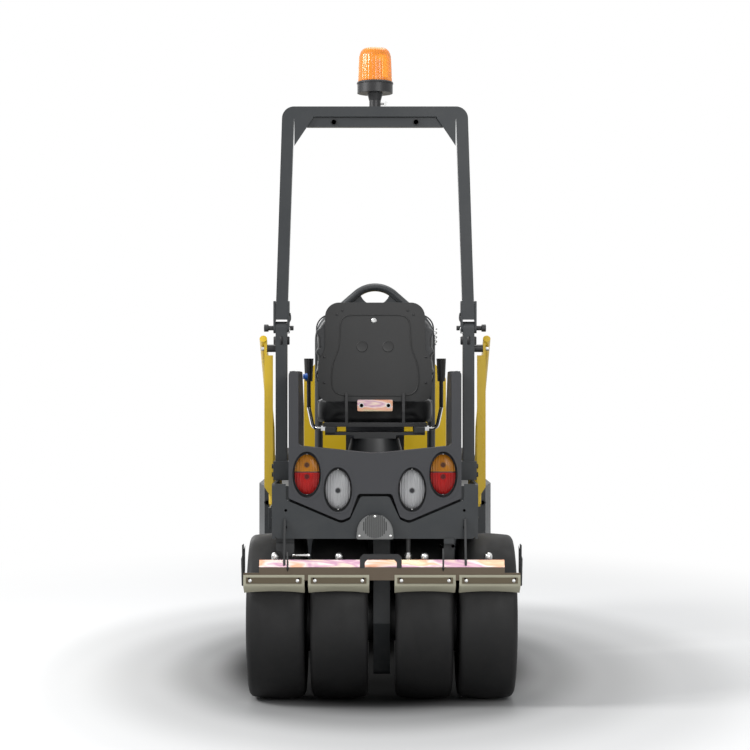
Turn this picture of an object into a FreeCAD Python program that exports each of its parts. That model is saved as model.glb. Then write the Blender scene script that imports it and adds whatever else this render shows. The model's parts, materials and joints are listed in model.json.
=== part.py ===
"""Small articulated combination roller: smooth drum in front, four smooth tyres behind.

Millimetres. +Y is forward, +X is right as seen from behind, +Z is up. The origin is on the
ground, below the middle of the machine's outline.
"""
import FreeCAD
import Part
import math
import os

os.makedirs("parts", exist_ok=True)
V = FreeCAD.Vector
X_AXIS = V(1, 0, 0)
Y_AXIS = V(0, 1, 0)
Z_AXIS = V(0, 0, 1)

# Fits: a running fit on a shaft, a seat between curved faces, a gap beside moving pieces
RUN = 0.05
SEAT = 0.3
CLEAR = 8.0

# Layout
WHEELBASE = 1700.0
REAR_AXLE_Y = -870.0
DRUM_AXLE_Y = REAR_AXLE_Y + WHEELBASE
STEER_Y = -20.0
REAR_FACE_Y = -1150.0
FRONT_WALL_Y = 190.0
FRONT_END_Y = 1250.0
GROUP_X = 25.0

# Rear tyres, rims and hubs, measured across from the middle of the wheel group
TYRE_R = 313.5
TYRE_HALF = 106.5
TYRE_CROWN = 9.0
RIM_R = 190.5
BEAD_HALF = 76.0
RIM_LIP_R = 205.0
RIM_WALL = 8.0
RIM_PLATE = 8.0
INNER_TYRE_X = 157.0
OUTER_TYRE_X = 392.0
HUB_R = 75.0
HUB_FLANGE_R = 135.0
HUB_FLANGE = 16.0
HUB_START = 104.0
HUB_END = 300.0
HUB_CAP_R = 55.0
HUB_CAP = 26.0
MOTOR_R = 95.0
MOTOR_END = 96.0
SPINDLE_R = 30.0
SPINDLE_END = 288.0

# Drum and the fork that carries it
DRUM_R = 360.0
DRUM_HALF = 500.0
DRUM_SHELL = 18.0
DRUM_PLATE = 15.0
DRUM_RECESS = 70.0
DRUM_BOSS_R = 90.0
DRUM_SHAFT_R = 45.0
DRUM_PAD_R = 150.0
FORK_IN = 508.0
FORK_PLATE = 26.0
FORK_OUT = FORK_IN + FORK_PLATE
FRONT_DECK_Z = 740.0
FRONT_DECK = 12.0
FRONT_WALL = 15.0
FRONT_WALL_LOW = 250.0
TUNNEL_Y = 440.0

# Articulation: a vertical steering pin, then a journal along the machine
KNUCKLE_Z = 430.0
KNUCKLE_R = 50.0
KNUCKLE_HALF = 70.0
PIN_R = 25.0
LUG = 22.0
LUG_HALF = 60.0
LUG_ROOT = 150.0
JOURNAL_R = 40.0
JOURNAL_END = 262.0
BEARING_R = 68.0
BEARING_Y = 150.0
KEEPER_R = 62.0
KEEPER = 12.0

# Steering cylinder, from a post in the girder to an arm on the knuckle's left
CYL_Z = 446.0
CYL_POST_X = -150.0
CYL_POST_Y = -400.0
CYL_ARM = 110.0
CYL_ARM_T = 14.0
CYL_R = 28.0
CYL_BODY = 262.0
CYL_BORE = 160.0
ROD_R = 14.0
ROD_IN = 92.0
EYE_R = 26.0
EYE_HALF = 15.0
EYE_PIN_R = 12.0

# Rear frame
SIDE_X = 367.0
SIDE_PLATE = 11.0
PLATE_Z = 627.0
TUB_FLOOR_Z = 640.0
TUB_FLOOR = 10.0
EAR_Z = 828.0
REAR_PLATE = 8.0
TUB_END_Y = -600.0
PLATFORM_END_Y = -14.0
PLATFORM_Z = 650.0
PLATFORM = 10.0
LEG_HALF = 31.5
LEG_LOW_Z = 97.0
BOX_HALF = 200.0
BOX_REAR_Y = -530.0
BOX_FRONT_Y = -150.0
BOX_LOW_Z = 300.0
BOX_WALL = 10.0

# Water tank and seat surround
TANK_HALF = 317.0
TANK_INNER = 281.0
TANK_TOP_Z = 1242.0
TANK_RIM_Z = 967.0
TANK_DIP_Z = 939.0
TANK_FRONT_Y = -600.0
TANK_STEP_Y = -660.0
TANK_GAP = 10.0
LAMP_DEPTH = 40.0

# Folding guard over the seat
POST_X = 358.0
POST_W = 44.0
POST_D = 50.0
POST_Y = -830.0
SOCKET_LOW_Z = 828.0
SOCKET_TOP_Z = 900.0
FOLD_Z = 1409.0
FOLD_PIN_R = 9.0
FOLD_REACH = 33.0
EAR = 8.0
EAR_TOP_Z = 1512.0
HOOP_TOP_Z = 2255.0
HOOP_TOP_X = 332.0
HOOP_R = 46.0
BAR_H = 39.0
BEACON_R = 68.0
BEACON_BASE_Z = 2308.0
BEACON_LENS_Z = 2349.0
BEACON_TOP_Z = 2482.0

# Hood over the engine
HOOD_HALF = 310.0
HOOD_SIDE_Z = 1222.0
HOOD_TOP_Z = 1380.0
HOOD_TOP_HALF = 190.0
HOOD_LOW_Z = 768.0
HOOD_FRONT_Y = 1165.0
HOOD_WALL = 6.0
HOOD_HINGE_Y = 1185.0
HOOD_HINGE_Z = 780.0
HINGE_R = 8.0
HINGE_EAR = 14.0
HINGE_X = 195.0
HINGE_T = 10.0

# Console, the tie-down eyes and the seat
CONSOLE_Y = -155.0
EYE_BORE_R = 20.0
REAR_EYE = (-1112.0, 715.0)
FRONT_EYE = (1165.0, 610.0)
SEAT_BACK_Y = -760.0
SEAT_HALF = 238.0
SEAT_TOP_Z = 1475.0
CUSHION_LOW_Z = 1045.0
CUSHION_Z = 1140.0
CUSHION_FRONT_Y = -320.0


def box(x0, x1, y0, y1, z0, z1):
    """A block between two corners."""
    return Part.makeBox(x1 - x0, y1 - y0, z1 - z0, V(x0, y0, z0))


def rod(start, end, radius):
    """A round bar from one point to another."""
    run = V(*end) - V(*start)
    return Part.makeCylinder(radius, run.Length, V(*start), run)


def rounded_wire(corners, place):
    """A closed outline from (u, v, radius) corners, with place(u, v) giving the 3-D point."""
    pts = [V(u, v, 0) for u, v, _ in corners]
    count = len(pts)
    runs = []
    for i, (_, _, radius) in enumerate(corners):
        here = pts[i]
        back = (pts[i - 1] - here).normalize()
        ahead = (pts[(i + 1) % count] - here).normalize()
        if radius == 0:
            runs.append((here, here, here))
            continue
        half = back.getAngle(ahead) / 2
        reach = radius / math.tan(half)
        centre = here + (back + ahead).normalize() * (radius / math.sin(half))
        middle = centre + (here - centre).normalize() * radius
        runs.append((here + back * reach, middle, here + ahead * reach))
    edges = []
    for i, (start, middle, end) in enumerate(runs):
        if (end - start).Length > 1e-6:
            arc = [place(p.x, p.y) for p in (start, middle, end)]
            edges.append(Part.Arc(*arc).toShape())
        after = runs[(i + 1) % count][0]
        if (after - end).Length > 1e-6:
            edges.append(Part.makeLine(place(end.x, end.y), place(after.x, after.y)))
    return Part.Wire(Part.__sortEdges__(edges))


def side_slab(corners, x0, x1):
    """A slab across the machine, its outline given as (y, z, radius)."""
    wire = rounded_wire(corners, lambda y, z: V(x0, y, z))
    return Part.Face(wire).extrude(V(x1 - x0, 0, 0))


def rear_slab(corners, y0, y1):
    """A slab along the machine, its outline given as (x, z, radius)."""
    wire = rounded_wire(corners, lambda x, z: V(x, y0, z))
    return Part.Face(wire).extrude(V(0, y1 - y0, 0))


def floor_slab(corners, z0, z1):
    """A level slab, its outline given as (x, y, radius)."""
    wire = rounded_wire(corners, lambda x, y: V(x, y, z0))
    return Part.Face(wire).extrude(V(0, 0, z1 - z0))


def turned(corners, axis_y, axis_z, centre_x=0.0, side=1):
    """A body turned about a cross axis, its section given as (x, r, radius)."""
    wire = rounded_wire(corners, lambda x, r: V(centre_x + side * x, axis_y, axis_z + r))
    return Part.Face(wire).revolve(V(centre_x, axis_y, axis_z), X_AXIS, 360)


def bent_tube(points, bend, radius):
    """A round tube along straight runs that are joined by arcs of one bend radius."""
    pts = [V(*p) for p in points]
    edges = []
    last = pts[0]
    for i in range(1, len(pts) - 1):
        here = pts[i]
        back = (pts[i - 1] - here).normalize()
        ahead = (pts[i + 1] - here).normalize()
        half = back.getAngle(ahead) / 2
        reach = bend / math.tan(half)
        centre = here + (back + ahead).normalize() * (bend / math.sin(half))
        middle = centre + (here - centre).normalize() * bend
        start = here + back * reach
        end = here + ahead * reach
        edges.append(Part.makeLine(last, start))
        edges.append(Part.Arc(start, middle, end).toShape())
        last = end
    edges.append(Part.makeLine(last, pts[-1]))
    path = Part.Wire(edges)
    ring = Part.Wire([Part.makeCircle(radius, pts[0], pts[1] - pts[0])])
    return path.makePipeShell([ring], True, False)


def both_sides(shape):
    """A shape and its mirror image across the body's centre line."""
    return [shape, shape.mirror(V(0, 0, 0), X_AXIS)]


def save(node, shape):
    """Write one piece, after tidying the faces that a union leaves."""
    solids = shape.Solids
    for solid in solids:
        if not solid.isValid() or solid.Volume <= 0:
            raise ValueError(node + " has a bad solid")
    out = solids[0] if len(solids) == 1 else Part.makeCompound(solids)
    out.exportStep("parts/" + node + ".step")


def fuse(pieces):
    """One solid from pieces that meet."""
    return pieces[0].fuse(pieces[1:]).removeSplitter()


# Rear tyres, rims and hubs

def tyre(centre):
    """A smooth tyre, its section as (across, radius, corner)."""
    shoulder = TYRE_R - TYRE_CROWN
    bead_top = RIM_LIP_R + 8
    corners = [
        (-BEAD_HALF, RIM_R, 0),
        (BEAD_HALF, RIM_R, 0),
        (BEAD_HALF, bead_top, 0),
        (TYRE_HALF, bead_top + 34, 20),
        (TYRE_HALF, shoulder, 24),
        (0, TYRE_R + 1.2, 520),
        (-TYRE_HALF, shoulder, 24),
        (-TYRE_HALF, bead_top + 34, 20),
        (-BEAD_HALF, bead_top, 0),
    ]
    return turned(corners, REAR_AXLE_Y, TYRE_R, centre)


def rim(centre, side):
    """A disc wheel; side says which way its plate is dished."""
    inner = RIM_R - SEAT
    barrel = inner - RIM_WALL
    edge = BEAD_HALF + RIM_WALL
    face = (OUTER_TYRE_X - INNER_TYRE_X - HUB_FLANGE) / 2
    plate = face - RIM_PLATE
    bore = HUB_R + SEAT
    corners = [
        (-edge, barrel, 0),
        (-edge, RIM_LIP_R, 3),
        (-BEAD_HALF, RIM_LIP_R, 3),
        (-BEAD_HALF, inner, 0),
        (BEAD_HALF, inner, 0),
        (BEAD_HALF, RIM_LIP_R, 3),
        (edge, RIM_LIP_R, 3),
        (edge, barrel, 0),
        (face, HUB_FLANGE_R + 6, 10),
        (face, bore, 0),
        (plate, bore, 0),
        (plate, HUB_FLANGE_R + 2, 10),
        (edge - 12, barrel, 0),
    ]
    return turned(corners, REAR_AXLE_Y, TYRE_R, centre, side)


def wheels():
    """Twin tyres on each side, with their rims and the hub between them."""
    middle = (INNER_TYRE_X + OUTER_TYRE_X) / 2
    flange_in = middle - HUB_FLANGE / 2
    flange_out = middle + HUB_FLANGE / 2
    bore = SPINDLE_R + RUN
    hub = [
        (HUB_START, bore, 0),
        (HUB_START, HUB_R, 4),
        (flange_in, HUB_R, 0),
        (flange_in, HUB_FLANGE_R, 2),
        (flange_out, HUB_FLANGE_R, 2),
        (flange_out, HUB_R, 0),
        (HUB_END, HUB_R, 6),
        (HUB_END, HUB_CAP_R, 0),
        (HUB_END + HUB_CAP, HUB_CAP_R - 8, 10),
        (HUB_END + HUB_CAP, 0, 0),
        (SPINDLE_END + 4, 0, 0),
        (SPINDLE_END + 4, bore, 0),
    ]
    motor = [
        (LEG_HALF, 0, 0),
        (LEG_HALF, MOTOR_R, 0),
        (MOTOR_END, MOTOR_R, 8),
        (MOTOR_END, SPINDLE_R, 0),
        (SPINDLE_END, SPINDLE_R, 3),
        (SPINDLE_END, 0, 0),
    ]
    motors = []
    for name, side in (("left", -1), ("right", 1)):
        for place, across in (("inner", INNER_TYRE_X), ("outer", OUTER_TYRE_X)):
            save("tyre_" + name + "_" + place, tyre(GROUP_X + side * across))
        rims = [
            rim(GROUP_X + side * INNER_TYRE_X, side),
            rim(GROUP_X + side * OUTER_TYRE_X, -side),
        ]
        save("rims_" + name, Part.makeCompound(rims))
        save("hub_" + name, turned(hub, REAR_AXLE_Y, TYRE_R, GROUP_X, side))
        motors.append(turned(motor, REAR_AXLE_Y, TYRE_R, GROUP_X, side))
    save("wheel_motors", Part.makeCompound(motors))


# Rear frame

def tank_outline(grow):
    """The moulded tank's lower edge as seen from behind, as (x, z, radius)."""
    half = [
        (-TANK_HALF - grow, 775.0 - grow * 0.6, 14.0),
        (-124.0, 693.0 - grow, 30.0),
        (-92.0, 707.0 - grow, 12.0),
        (-62.0 + grow, 792.0 - grow, 14.0),
    ]
    return half + [(-x, z, r) for x, z, r in reversed(half)]


def rear_chassis():
    """The welded tub: rear plate, sides, floor, and the box ahead of the wheels."""
    back_y = REAR_FACE_Y + REAR_PLATE
    out_x = SIDE_X + SIDE_PLATE
    plate = rear_slab(
        [
            (-SIDE_X, PLATE_Z, 14), (SIDE_X, PLATE_Z, 14),
            (SIDE_X, EAR_Z, 4), (-SIDE_X, EAR_Z, 4),
        ], REAR_FACE_Y, back_y)
    hollow = tank_outline(TANK_GAP)
    top = EAR_Z + 20
    hollow += [(TANK_HALF + TANK_GAP, top, 0), (-TANK_HALF - TANK_GAP, top, 0)]
    plate = plate.cut(rear_slab(hollow, REAR_FACE_Y - 1, back_y + 1))
    side = side_slab(
        [
            (REAR_FACE_Y, PLATE_Z, 0), (REAR_FACE_Y + 30, TUB_FLOOR_Z, 0),
            (TUB_END_Y, TUB_FLOOR_Z, 0), (TUB_END_Y, EAR_Z, 40),
            (REAR_FACE_Y, EAR_Z, 10),
        ], SIDE_X, out_x)
    floor = box(-SIDE_X, SIDE_X, back_y, TUB_END_Y, TUB_FLOOR_Z, TUB_FLOOR_Z + TUB_FLOOR)
    eye = rod((SIDE_X - 1, *REAR_EYE), (out_x + 1, *REAR_EYE), EYE_BORE_R)
    save("rear_chassis", fuse([plate, floor] + both_sides(side.cut(eye))))


def centre_box():
    """The girder under the platform, its rear leg between the tyres and its steering lugs."""
    low = TUB_FLOOR_Z
    leg = side_slab(
        [
            (REAR_AXLE_Y - 150, low, 0), (REAR_AXLE_Y - 150, 300, 20),
            (REAR_AXLE_Y - 62, LEG_LOW_Z, 30), (REAR_AXLE_Y + 62, LEG_LOW_Z, 30),
            (REAR_AXLE_Y + 170, 320, 40), (BOX_REAR_Y, 320, 0), (BOX_REAR_Y, low, 0),
        ], GROUP_X - LEG_HALF, GROUP_X + LEG_HALF)
    shell = box(-BOX_HALF, BOX_HALF, BOX_REAR_Y, BOX_FRONT_Y, BOX_LOW_Z, low)
    inside = box(-BOX_HALF + BOX_WALL, BOX_HALF - BOX_WALL, BOX_REAR_Y + BOX_WALL,
                 BOX_FRONT_Y - BOX_WALL, BOX_LOW_Z + BOX_WALL, low)
    girder = fuse([shell.cut(inside), leg])
    lugs = []
    reach = STEER_Y + LUG_HALF
    for z0 in (KNUCKLE_Z - KNUCKLE_HALF - 1 - LUG, KNUCKLE_Z + KNUCKLE_HALF + 1):
        lug = floor_slab(
            [
                (-LUG_ROOT, BOX_FRONT_Y, 0), (LUG_ROOT, BOX_FRONT_Y, 0),
                (LUG_HALF, reach, LUG_HALF - 8), (-LUG_HALF, reach, LUG_HALF - 8),
            ], z0, z0 + LUG)
        lugs.append(lug)
    post = rod((CYL_POST_X, CYL_POST_Y, BOX_LOW_Z + BOX_WALL),
               (CYL_POST_X, CYL_POST_Y, CYL_Z + EYE_HALF + 12), EYE_PIN_R)
    seat = rod((CYL_POST_X, CYL_POST_Y, BOX_LOW_Z + BOX_WALL),
               (CYL_POST_X, CYL_POST_Y, CYL_Z - EYE_HALF - 1), EYE_PIN_R + 3)
    girder = fuse([girder, post, seat] + lugs)
    bore = Part.makeCylinder(PIN_R + RUN, 400, V(0, STEER_Y, KNUCKLE_Z - 200))
    window = box(CYL_POST_X - 30, CYL_POST_X + 90, BOX_FRONT_Y - BOX_WALL - 1,
                 BOX_FRONT_Y + 1, CYL_Z - CYL_R - 16, CYL_Z + CYL_R + 16)
    save("centre_girder", girder.cut(bore).cut(window))
    pin_low = KNUCKLE_Z - KNUCKLE_HALF - LUG - 12
    pin_top = KNUCKLE_Z + KNUCKLE_HALF + LUG + 1
    pin = Part.makeCylinder(PIN_R, pin_top - pin_low + 14, V(0, STEER_Y, pin_low))
    head = Part.makeCylinder(PIN_R + 14, 13, V(0, STEER_Y, pin_top + 0.2))
    save("steering_pin", fuse([pin, head]))


def platform():
    """The floor plate for the feet, with a raised edge at each side."""
    out_x = SIDE_X + SIDE_PLATE
    plate = box(-out_x, out_x, TUB_END_Y + 0.2, PLATFORM_END_Y, TUB_FLOOR_Z, PLATFORM_Z)
    sill = box(SIDE_X, out_x, TUB_END_Y + 0.2, PLATFORM_END_Y - 40, PLATFORM_Z, PLATFORM_Z + 54)
    step = box(SIDE_X + SIDE_PLATE, 423, -560, -330, 620, 704)
    step = step.cut(box(SIDE_X + SIDE_PLATE, 415, -552, -338, 628, 705))
    step = step.mirror(V(0, 0, 0), X_AXIS)
    save("platform", fuse([plate] + both_sides(sill) + [step]))


def oval(x, z, width, height, y0, y1):
    """An upright oval bar along the machine, its ends full half circles."""
    half = width / 2
    top = z + height / 2 - half
    low = z - height / 2 + half
    middle = box(x - half, x + half, y0, y1, low, top)
    ends = [Part.makeCylinder(half, y1 - y0, V(x, y0, zz), Y_AXIS) for zz in (low, top)]
    return fuse([middle] + ends)


# Lamps in the tank's rear face, as (name, x, z, recess width, height, lens width, height)
LAMPS = (
    ("tail_lamps", 250.0, 862.0, 108.0, 171.0, 95.0, 144.0),
    ("work_lamps", 136.0, 807.0, 108.0, 170.0, 96.0, 139.0),
)


def tank():
    """The moulded tank with an arm at each side of the seat and four lamp recesses."""
    low = TUB_FLOOR_Z + TUB_FLOOR + 0.2
    lower = tank_outline(0)
    rim_half = TANK_INNER
    upper = [
        (TANK_HALF, TANK_TOP_Z, 16), (TANK_INNER, TANK_TOP_Z, 16),
        (rim_half, TANK_RIM_Z, 15), (0, TANK_DIP_Z, 300), (-rim_half, TANK_RIM_Z, 15),
        (-TANK_INNER, TANK_TOP_Z, 16), (-TANK_HALF, TANK_TOP_Z, 16),
    ]
    back = rear_slab(lower + upper, REAR_FACE_Y, REAR_FACE_Y + 90)
    block = box(-TANK_HALF, TANK_HALF, REAR_FACE_Y + 90, TANK_STEP_Y, low, TANK_DIP_Z - 12)
    arm = side_slab(
        [
            (REAR_FACE_Y + 90, low, 0), (TANK_FRONT_Y, low, 0), (TANK_FRONT_Y, 1100, 50),
            (-740, TANK_TOP_Z, 90), (REAR_FACE_Y + 90, TANK_TOP_Z, 0),
        ], TANK_INNER, TANK_HALF)
    body = fuse([back, block] + both_sides(arm))
    for _, x, z, wide, high, _, _ in LAMPS:
        pocket = oval(x, z, wide, high, REAR_FACE_Y - 1, REAR_FACE_Y + LAMP_DEPTH)
        for cut in both_sides(pocket):
            body = body.cut(cut)
    save("water_tank", body)
    for name, x, z, wide, high, lens_w, lens_h in LAMPS:
        floor_y = REAR_FACE_Y + LAMP_DEPTH
        foot = oval(x, z, wide - 16, high - 16, floor_y - 14, floor_y)
        lens = oval(x, z, lens_w, lens_h, REAR_FACE_Y - 4, floor_y - 14)
        lens = lens.makeFillet(8, [e for e in lens.Edges if e.CenterOfMass.y < REAR_FACE_Y])
        save(name, Part.makeCompound(both_sides(fuse([foot, lens]))))
    cap = Part.makeCylinder(26, 22, V(-250, -700, TANK_DIP_Z - 12))
    save("water_cap", cap)


def alarm():
    """The round slotted cover low on the rear plate, with a flat foot."""
    disc = Part.makeCylinder(66, 34, V(0, REAR_FACE_Y - 34, 685), Y_AXIS)
    disc = disc.common(box(-90, 90, REAR_FACE_Y - 40, REAR_FACE_Y, 619 + 8.5, 760))
    foot = rear_slab(
        [(-72, 627, 8), (72, 627, 8), (60, 668, 8), (-60, 668, 8)],
        REAR_FACE_Y - 20, REAR_FACE_Y)
    save("alarm_cover", fuse([disc, foot]))


def scrapers():
    """The rail behind the tyres with its four scraper blades."""
    x = GROUP_X
    half = OUTER_TYRE_X + TYRE_HALF + 10
    rail = side_slab(
        [
            (-1225, 497, 2), (-1170, 497, 2), (-1170, 508, 0), (-1213, 508, 2), (-1213, 528, 2),
            (-1190, 554, 2), (-1196, 560, 2), (-1225, 532, 3),
        ], x - 446, x + 446)
    strip = box(x - half, x + half, -1221, -1174, 489, 496.8)
    ends = [box(x + s * 510 - 2, x + s * 510 + 2, -1221, -1170, 460, 610) for s in (-1, 1)]
    arms = []
    for s in (-1, 1):
        arms.append(side_slab(
            [
                (-1194, 497, 0), (-1170, 497, 0), (REAR_FACE_Y, 640, 0),
                (REAR_FACE_Y, 700, 0), (REAR_FACE_Y - 14, 700, 6), (-1176, 600, 20),
            ], s * 330 - 4, s * 330 + 4))
    save("scraper_rail", fuse([rail, strip] + ends + arms))
    blades = []
    for offset in (-OUTER_TYRE_X, -INNER_TYRE_X, INNER_TYRE_X, OUTER_TYRE_X):
        centre = x + offset
        blade = side_slab(
            [(-1188, 488.8, 0), (-1180, 488.8, 0), (-1164, 441, 0), (-1172, 441, 0)],
            centre - 111, centre + 111)
        clamp = side_slab(
            [(-1194.5, 488.8, 0), (-1188, 488.8, 0), (-1182, 471, 0), (-1188.5, 471, 0)],
            centre - 101, centre + 101)
        blades.append(fuse([blade, clamp]))
    save("scraper_blades", Part.makeCompound(blades))


def rops():
    """The folding guard: lower posts in sockets, the hoop above, and the hinge between."""
    half_d = POST_D / 2
    half_w = POST_W / 2
    lower = side_slab(
        [
            (POST_Y - half_d, SOCKET_LOW_Z, 0), (POST_Y + half_d, SOCKET_LOW_Z, 0),
            (POST_Y + half_d, FOLD_Z + half_d, half_d - 1),
            (POST_Y - half_d, FOLD_Z + half_d, half_d - 1),
        ], POST_X - half_w, POST_X + half_w)
    socket = box(POST_X - half_w - 8, POST_X + half_w + 8, POST_Y - 36, POST_Y + 36,
                 SOCKET_LOW_Z, SOCKET_TOP_Z)
    socket = socket.cut(box(POST_X - half_w, POST_X + half_w, POST_Y - half_d,
                            POST_Y + half_d, SOCKET_LOW_Z, SOCKET_TOP_Z))
    bore = Part.makeCylinder(FOLD_PIN_R + RUN, 140, V(POST_X - 70, POST_Y, FOLD_Z), X_AXIS)
    posts = [fuse([lower, socket]).cut(bore)]
    posts = both_sides(posts[0])
    save("guard_posts_lower", Part.makeCompound(posts))
    pin = rod((POST_X - 46, POST_Y, FOLD_Z), (POST_X + 50, POST_Y, FOLD_Z), FOLD_PIN_R)
    knob = rod((POST_X + 50, POST_Y, FOLD_Z), (POST_X + 67, POST_Y, FOLD_Z), 14)
    save("guard_pins", Part.makeCompound(both_sides(fuse([pin, knob]))))

    base_z = FOLD_Z + FOLD_REACH
    top = [
        (-POST_X - half_w, base_z, 0), (-HOOP_TOP_X - half_w, HOOP_TOP_Z, HOOP_R),
        (HOOP_TOP_X + half_w, HOOP_TOP_Z, HOOP_R), (POST_X + half_w, base_z, 0),
        (POST_X - half_w, base_z, 0), (HOOP_TOP_X - half_w, HOOP_TOP_Z - BAR_H, 14),
        (-HOOP_TOP_X + half_w, HOOP_TOP_Z - BAR_H, 14), (-POST_X + half_w, base_z, 0),
    ]
    hoop = rear_slab(top, POST_Y - half_d, POST_Y + half_d)
    ears = []
    for inner in (POST_X - half_w - EAR - 0.5, POST_X + half_w + 0.5):
        ear = side_slab(
            [
                (POST_Y - 24, FOLD_Z - 20, 18), (POST_Y + 24, FOLD_Z - 20, 18),
                (POST_Y + half_d, EAR_TOP_Z, 6), (POST_Y - half_d, EAR_TOP_Z, 6),
            ], inner, inner + EAR)
        ears.append(ear)
    join = []
    for lean in (-1, 1):
        x0 = POST_X + lean * (half_w - 4)
        join.append(box(min(x0, x0 + lean * 5), max(x0, x0 + lean * 5),
                        POST_Y - 20, POST_Y + 20, base_z + 4, EAR_TOP_Z - 10))
    bar = rear_slab(
        [(-262, 2178, 3), (262, 2178, 3), (262, 2214, 3), (-262, 2214, 3)],
        POST_Y - 15, POST_Y + 15)
    webs = [box(s * 200 - 4, s * 200 + 4, POST_Y - 12, POST_Y + 12, 2213, 2217.5)
            for s in (-1, 1)]
    gusset = rear_slab(
        [
            (HOOP_TOP_X - half_w - 2, 2105, 0), (HOOP_TOP_X - half_w - 2, 2218, 0),
            (236, 2218, 0), (236, 2212, 0),
        ], POST_Y - half_d, POST_Y - half_d + 6)
    upper = [hoop, bar] + webs + both_sides(gusset)
    for ear in ears + join:
        upper += both_sides(ear)
    upper = fuse(upper).cut(bore).cut(bore.mirror(V(0, 0, 0), X_AXIS))
    save("guard_hoop", upper)
    neck = Part.makeCylinder(22, 26, V(0, POST_Y, HOOP_TOP_Z))
    taper = Part.makeCone(23, 30, 27, V(0, POST_Y, HOOP_TOP_Z + 26))
    base = Part.makeCylinder(BEACON_R, BEACON_LENS_Z - BEACON_BASE_Z, V(0, POST_Y, BEACON_BASE_Z))
    save("beacon_base", fuse([neck, taper, base]))
    lens = Part.makeCone(BEACON_R - 3, BEACON_R - 7, BEACON_TOP_Z - BEACON_LENS_Z,
                         V(0, POST_Y, BEACON_LENS_Z))
    lens = lens.makeFillet(26, [e for e in lens.Edges if e.CenterOfMass.z > BEACON_TOP_Z - 1])
    save("beacon_lens", lens)


def seat():
    """The driver's seat: pedestal, pan, steel back plate, cushion and backrest."""
    top = TANK_DIP_Z - 12
    dome = Part.makeCone(108, 92, 60, V(0, -800, top))
    slides = [box(s * 170 - 20, s * 170 + 20, -900, -560, 1010, 1030) for s in (-1, 1)]
    column = box(-80, 80, -880, -700, top + 60, 1010)
    bridge = box(-190, 190, -880, -700, 1000, 1010.2)
    save("seat_base", fuse([dome, column, bridge] + slides))
    pan = box(-200, 200, SEAT_BACK_Y - 40, CUSHION_FRONT_Y - 60, 1030, 1045)
    hinges = []
    for s in (-1, 1):
        hinges.append(side_slab(
            [
                (SEAT_BACK_Y - 40, 1045, 0), (SEAT_BACK_Y + 60, 1045, 0),
                (SEAT_BACK_Y + 30, 1100, 12), (SEAT_BACK_Y, 1160, 8), (SEAT_BACK_Y - 14, 1160, 4),
                (SEAT_BACK_Y - 40, 1090, 10),
            ], s * 110 - 5, s * 110 + 5))
    plate = rear_slab(
        [
            (-220, 1128, 40), (220, 1128, 40), (220, 1280, 60), (193, 1330, 60),
            (193, 1510, 54), (-193, 1510, 54), (-193, 1330, 60), (-220, 1280, 60),
        ], SEAT_BACK_Y - 6, SEAT_BACK_Y)
    save("seat_frame", fuse([pan, plate] + hinges))
    cushion = floor_slab(
        [
            (-SEAT_HALF, -640, 50), (SEAT_HALF, -640, 50), (SEAT_HALF, CUSHION_FRONT_Y, 80),
            (-SEAT_HALF, CUSHION_FRONT_Y, 80),
        ], CUSHION_LOW_Z + 0.3, CUSHION_Z)
    save("seat_cushion", cushion)
    back = rear_slab(
        [
            (-SEAT_HALF, 1165, 50), (SEAT_HALF, 1165, 50), (SEAT_HALF, SEAT_TOP_Z, 90),
            (-SEAT_HALF, SEAT_TOP_Z, 90),
        ], SEAT_BACK_Y + 0.3, SEAT_BACK_Y + 95)
    save("seat_backrest", back)


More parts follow.
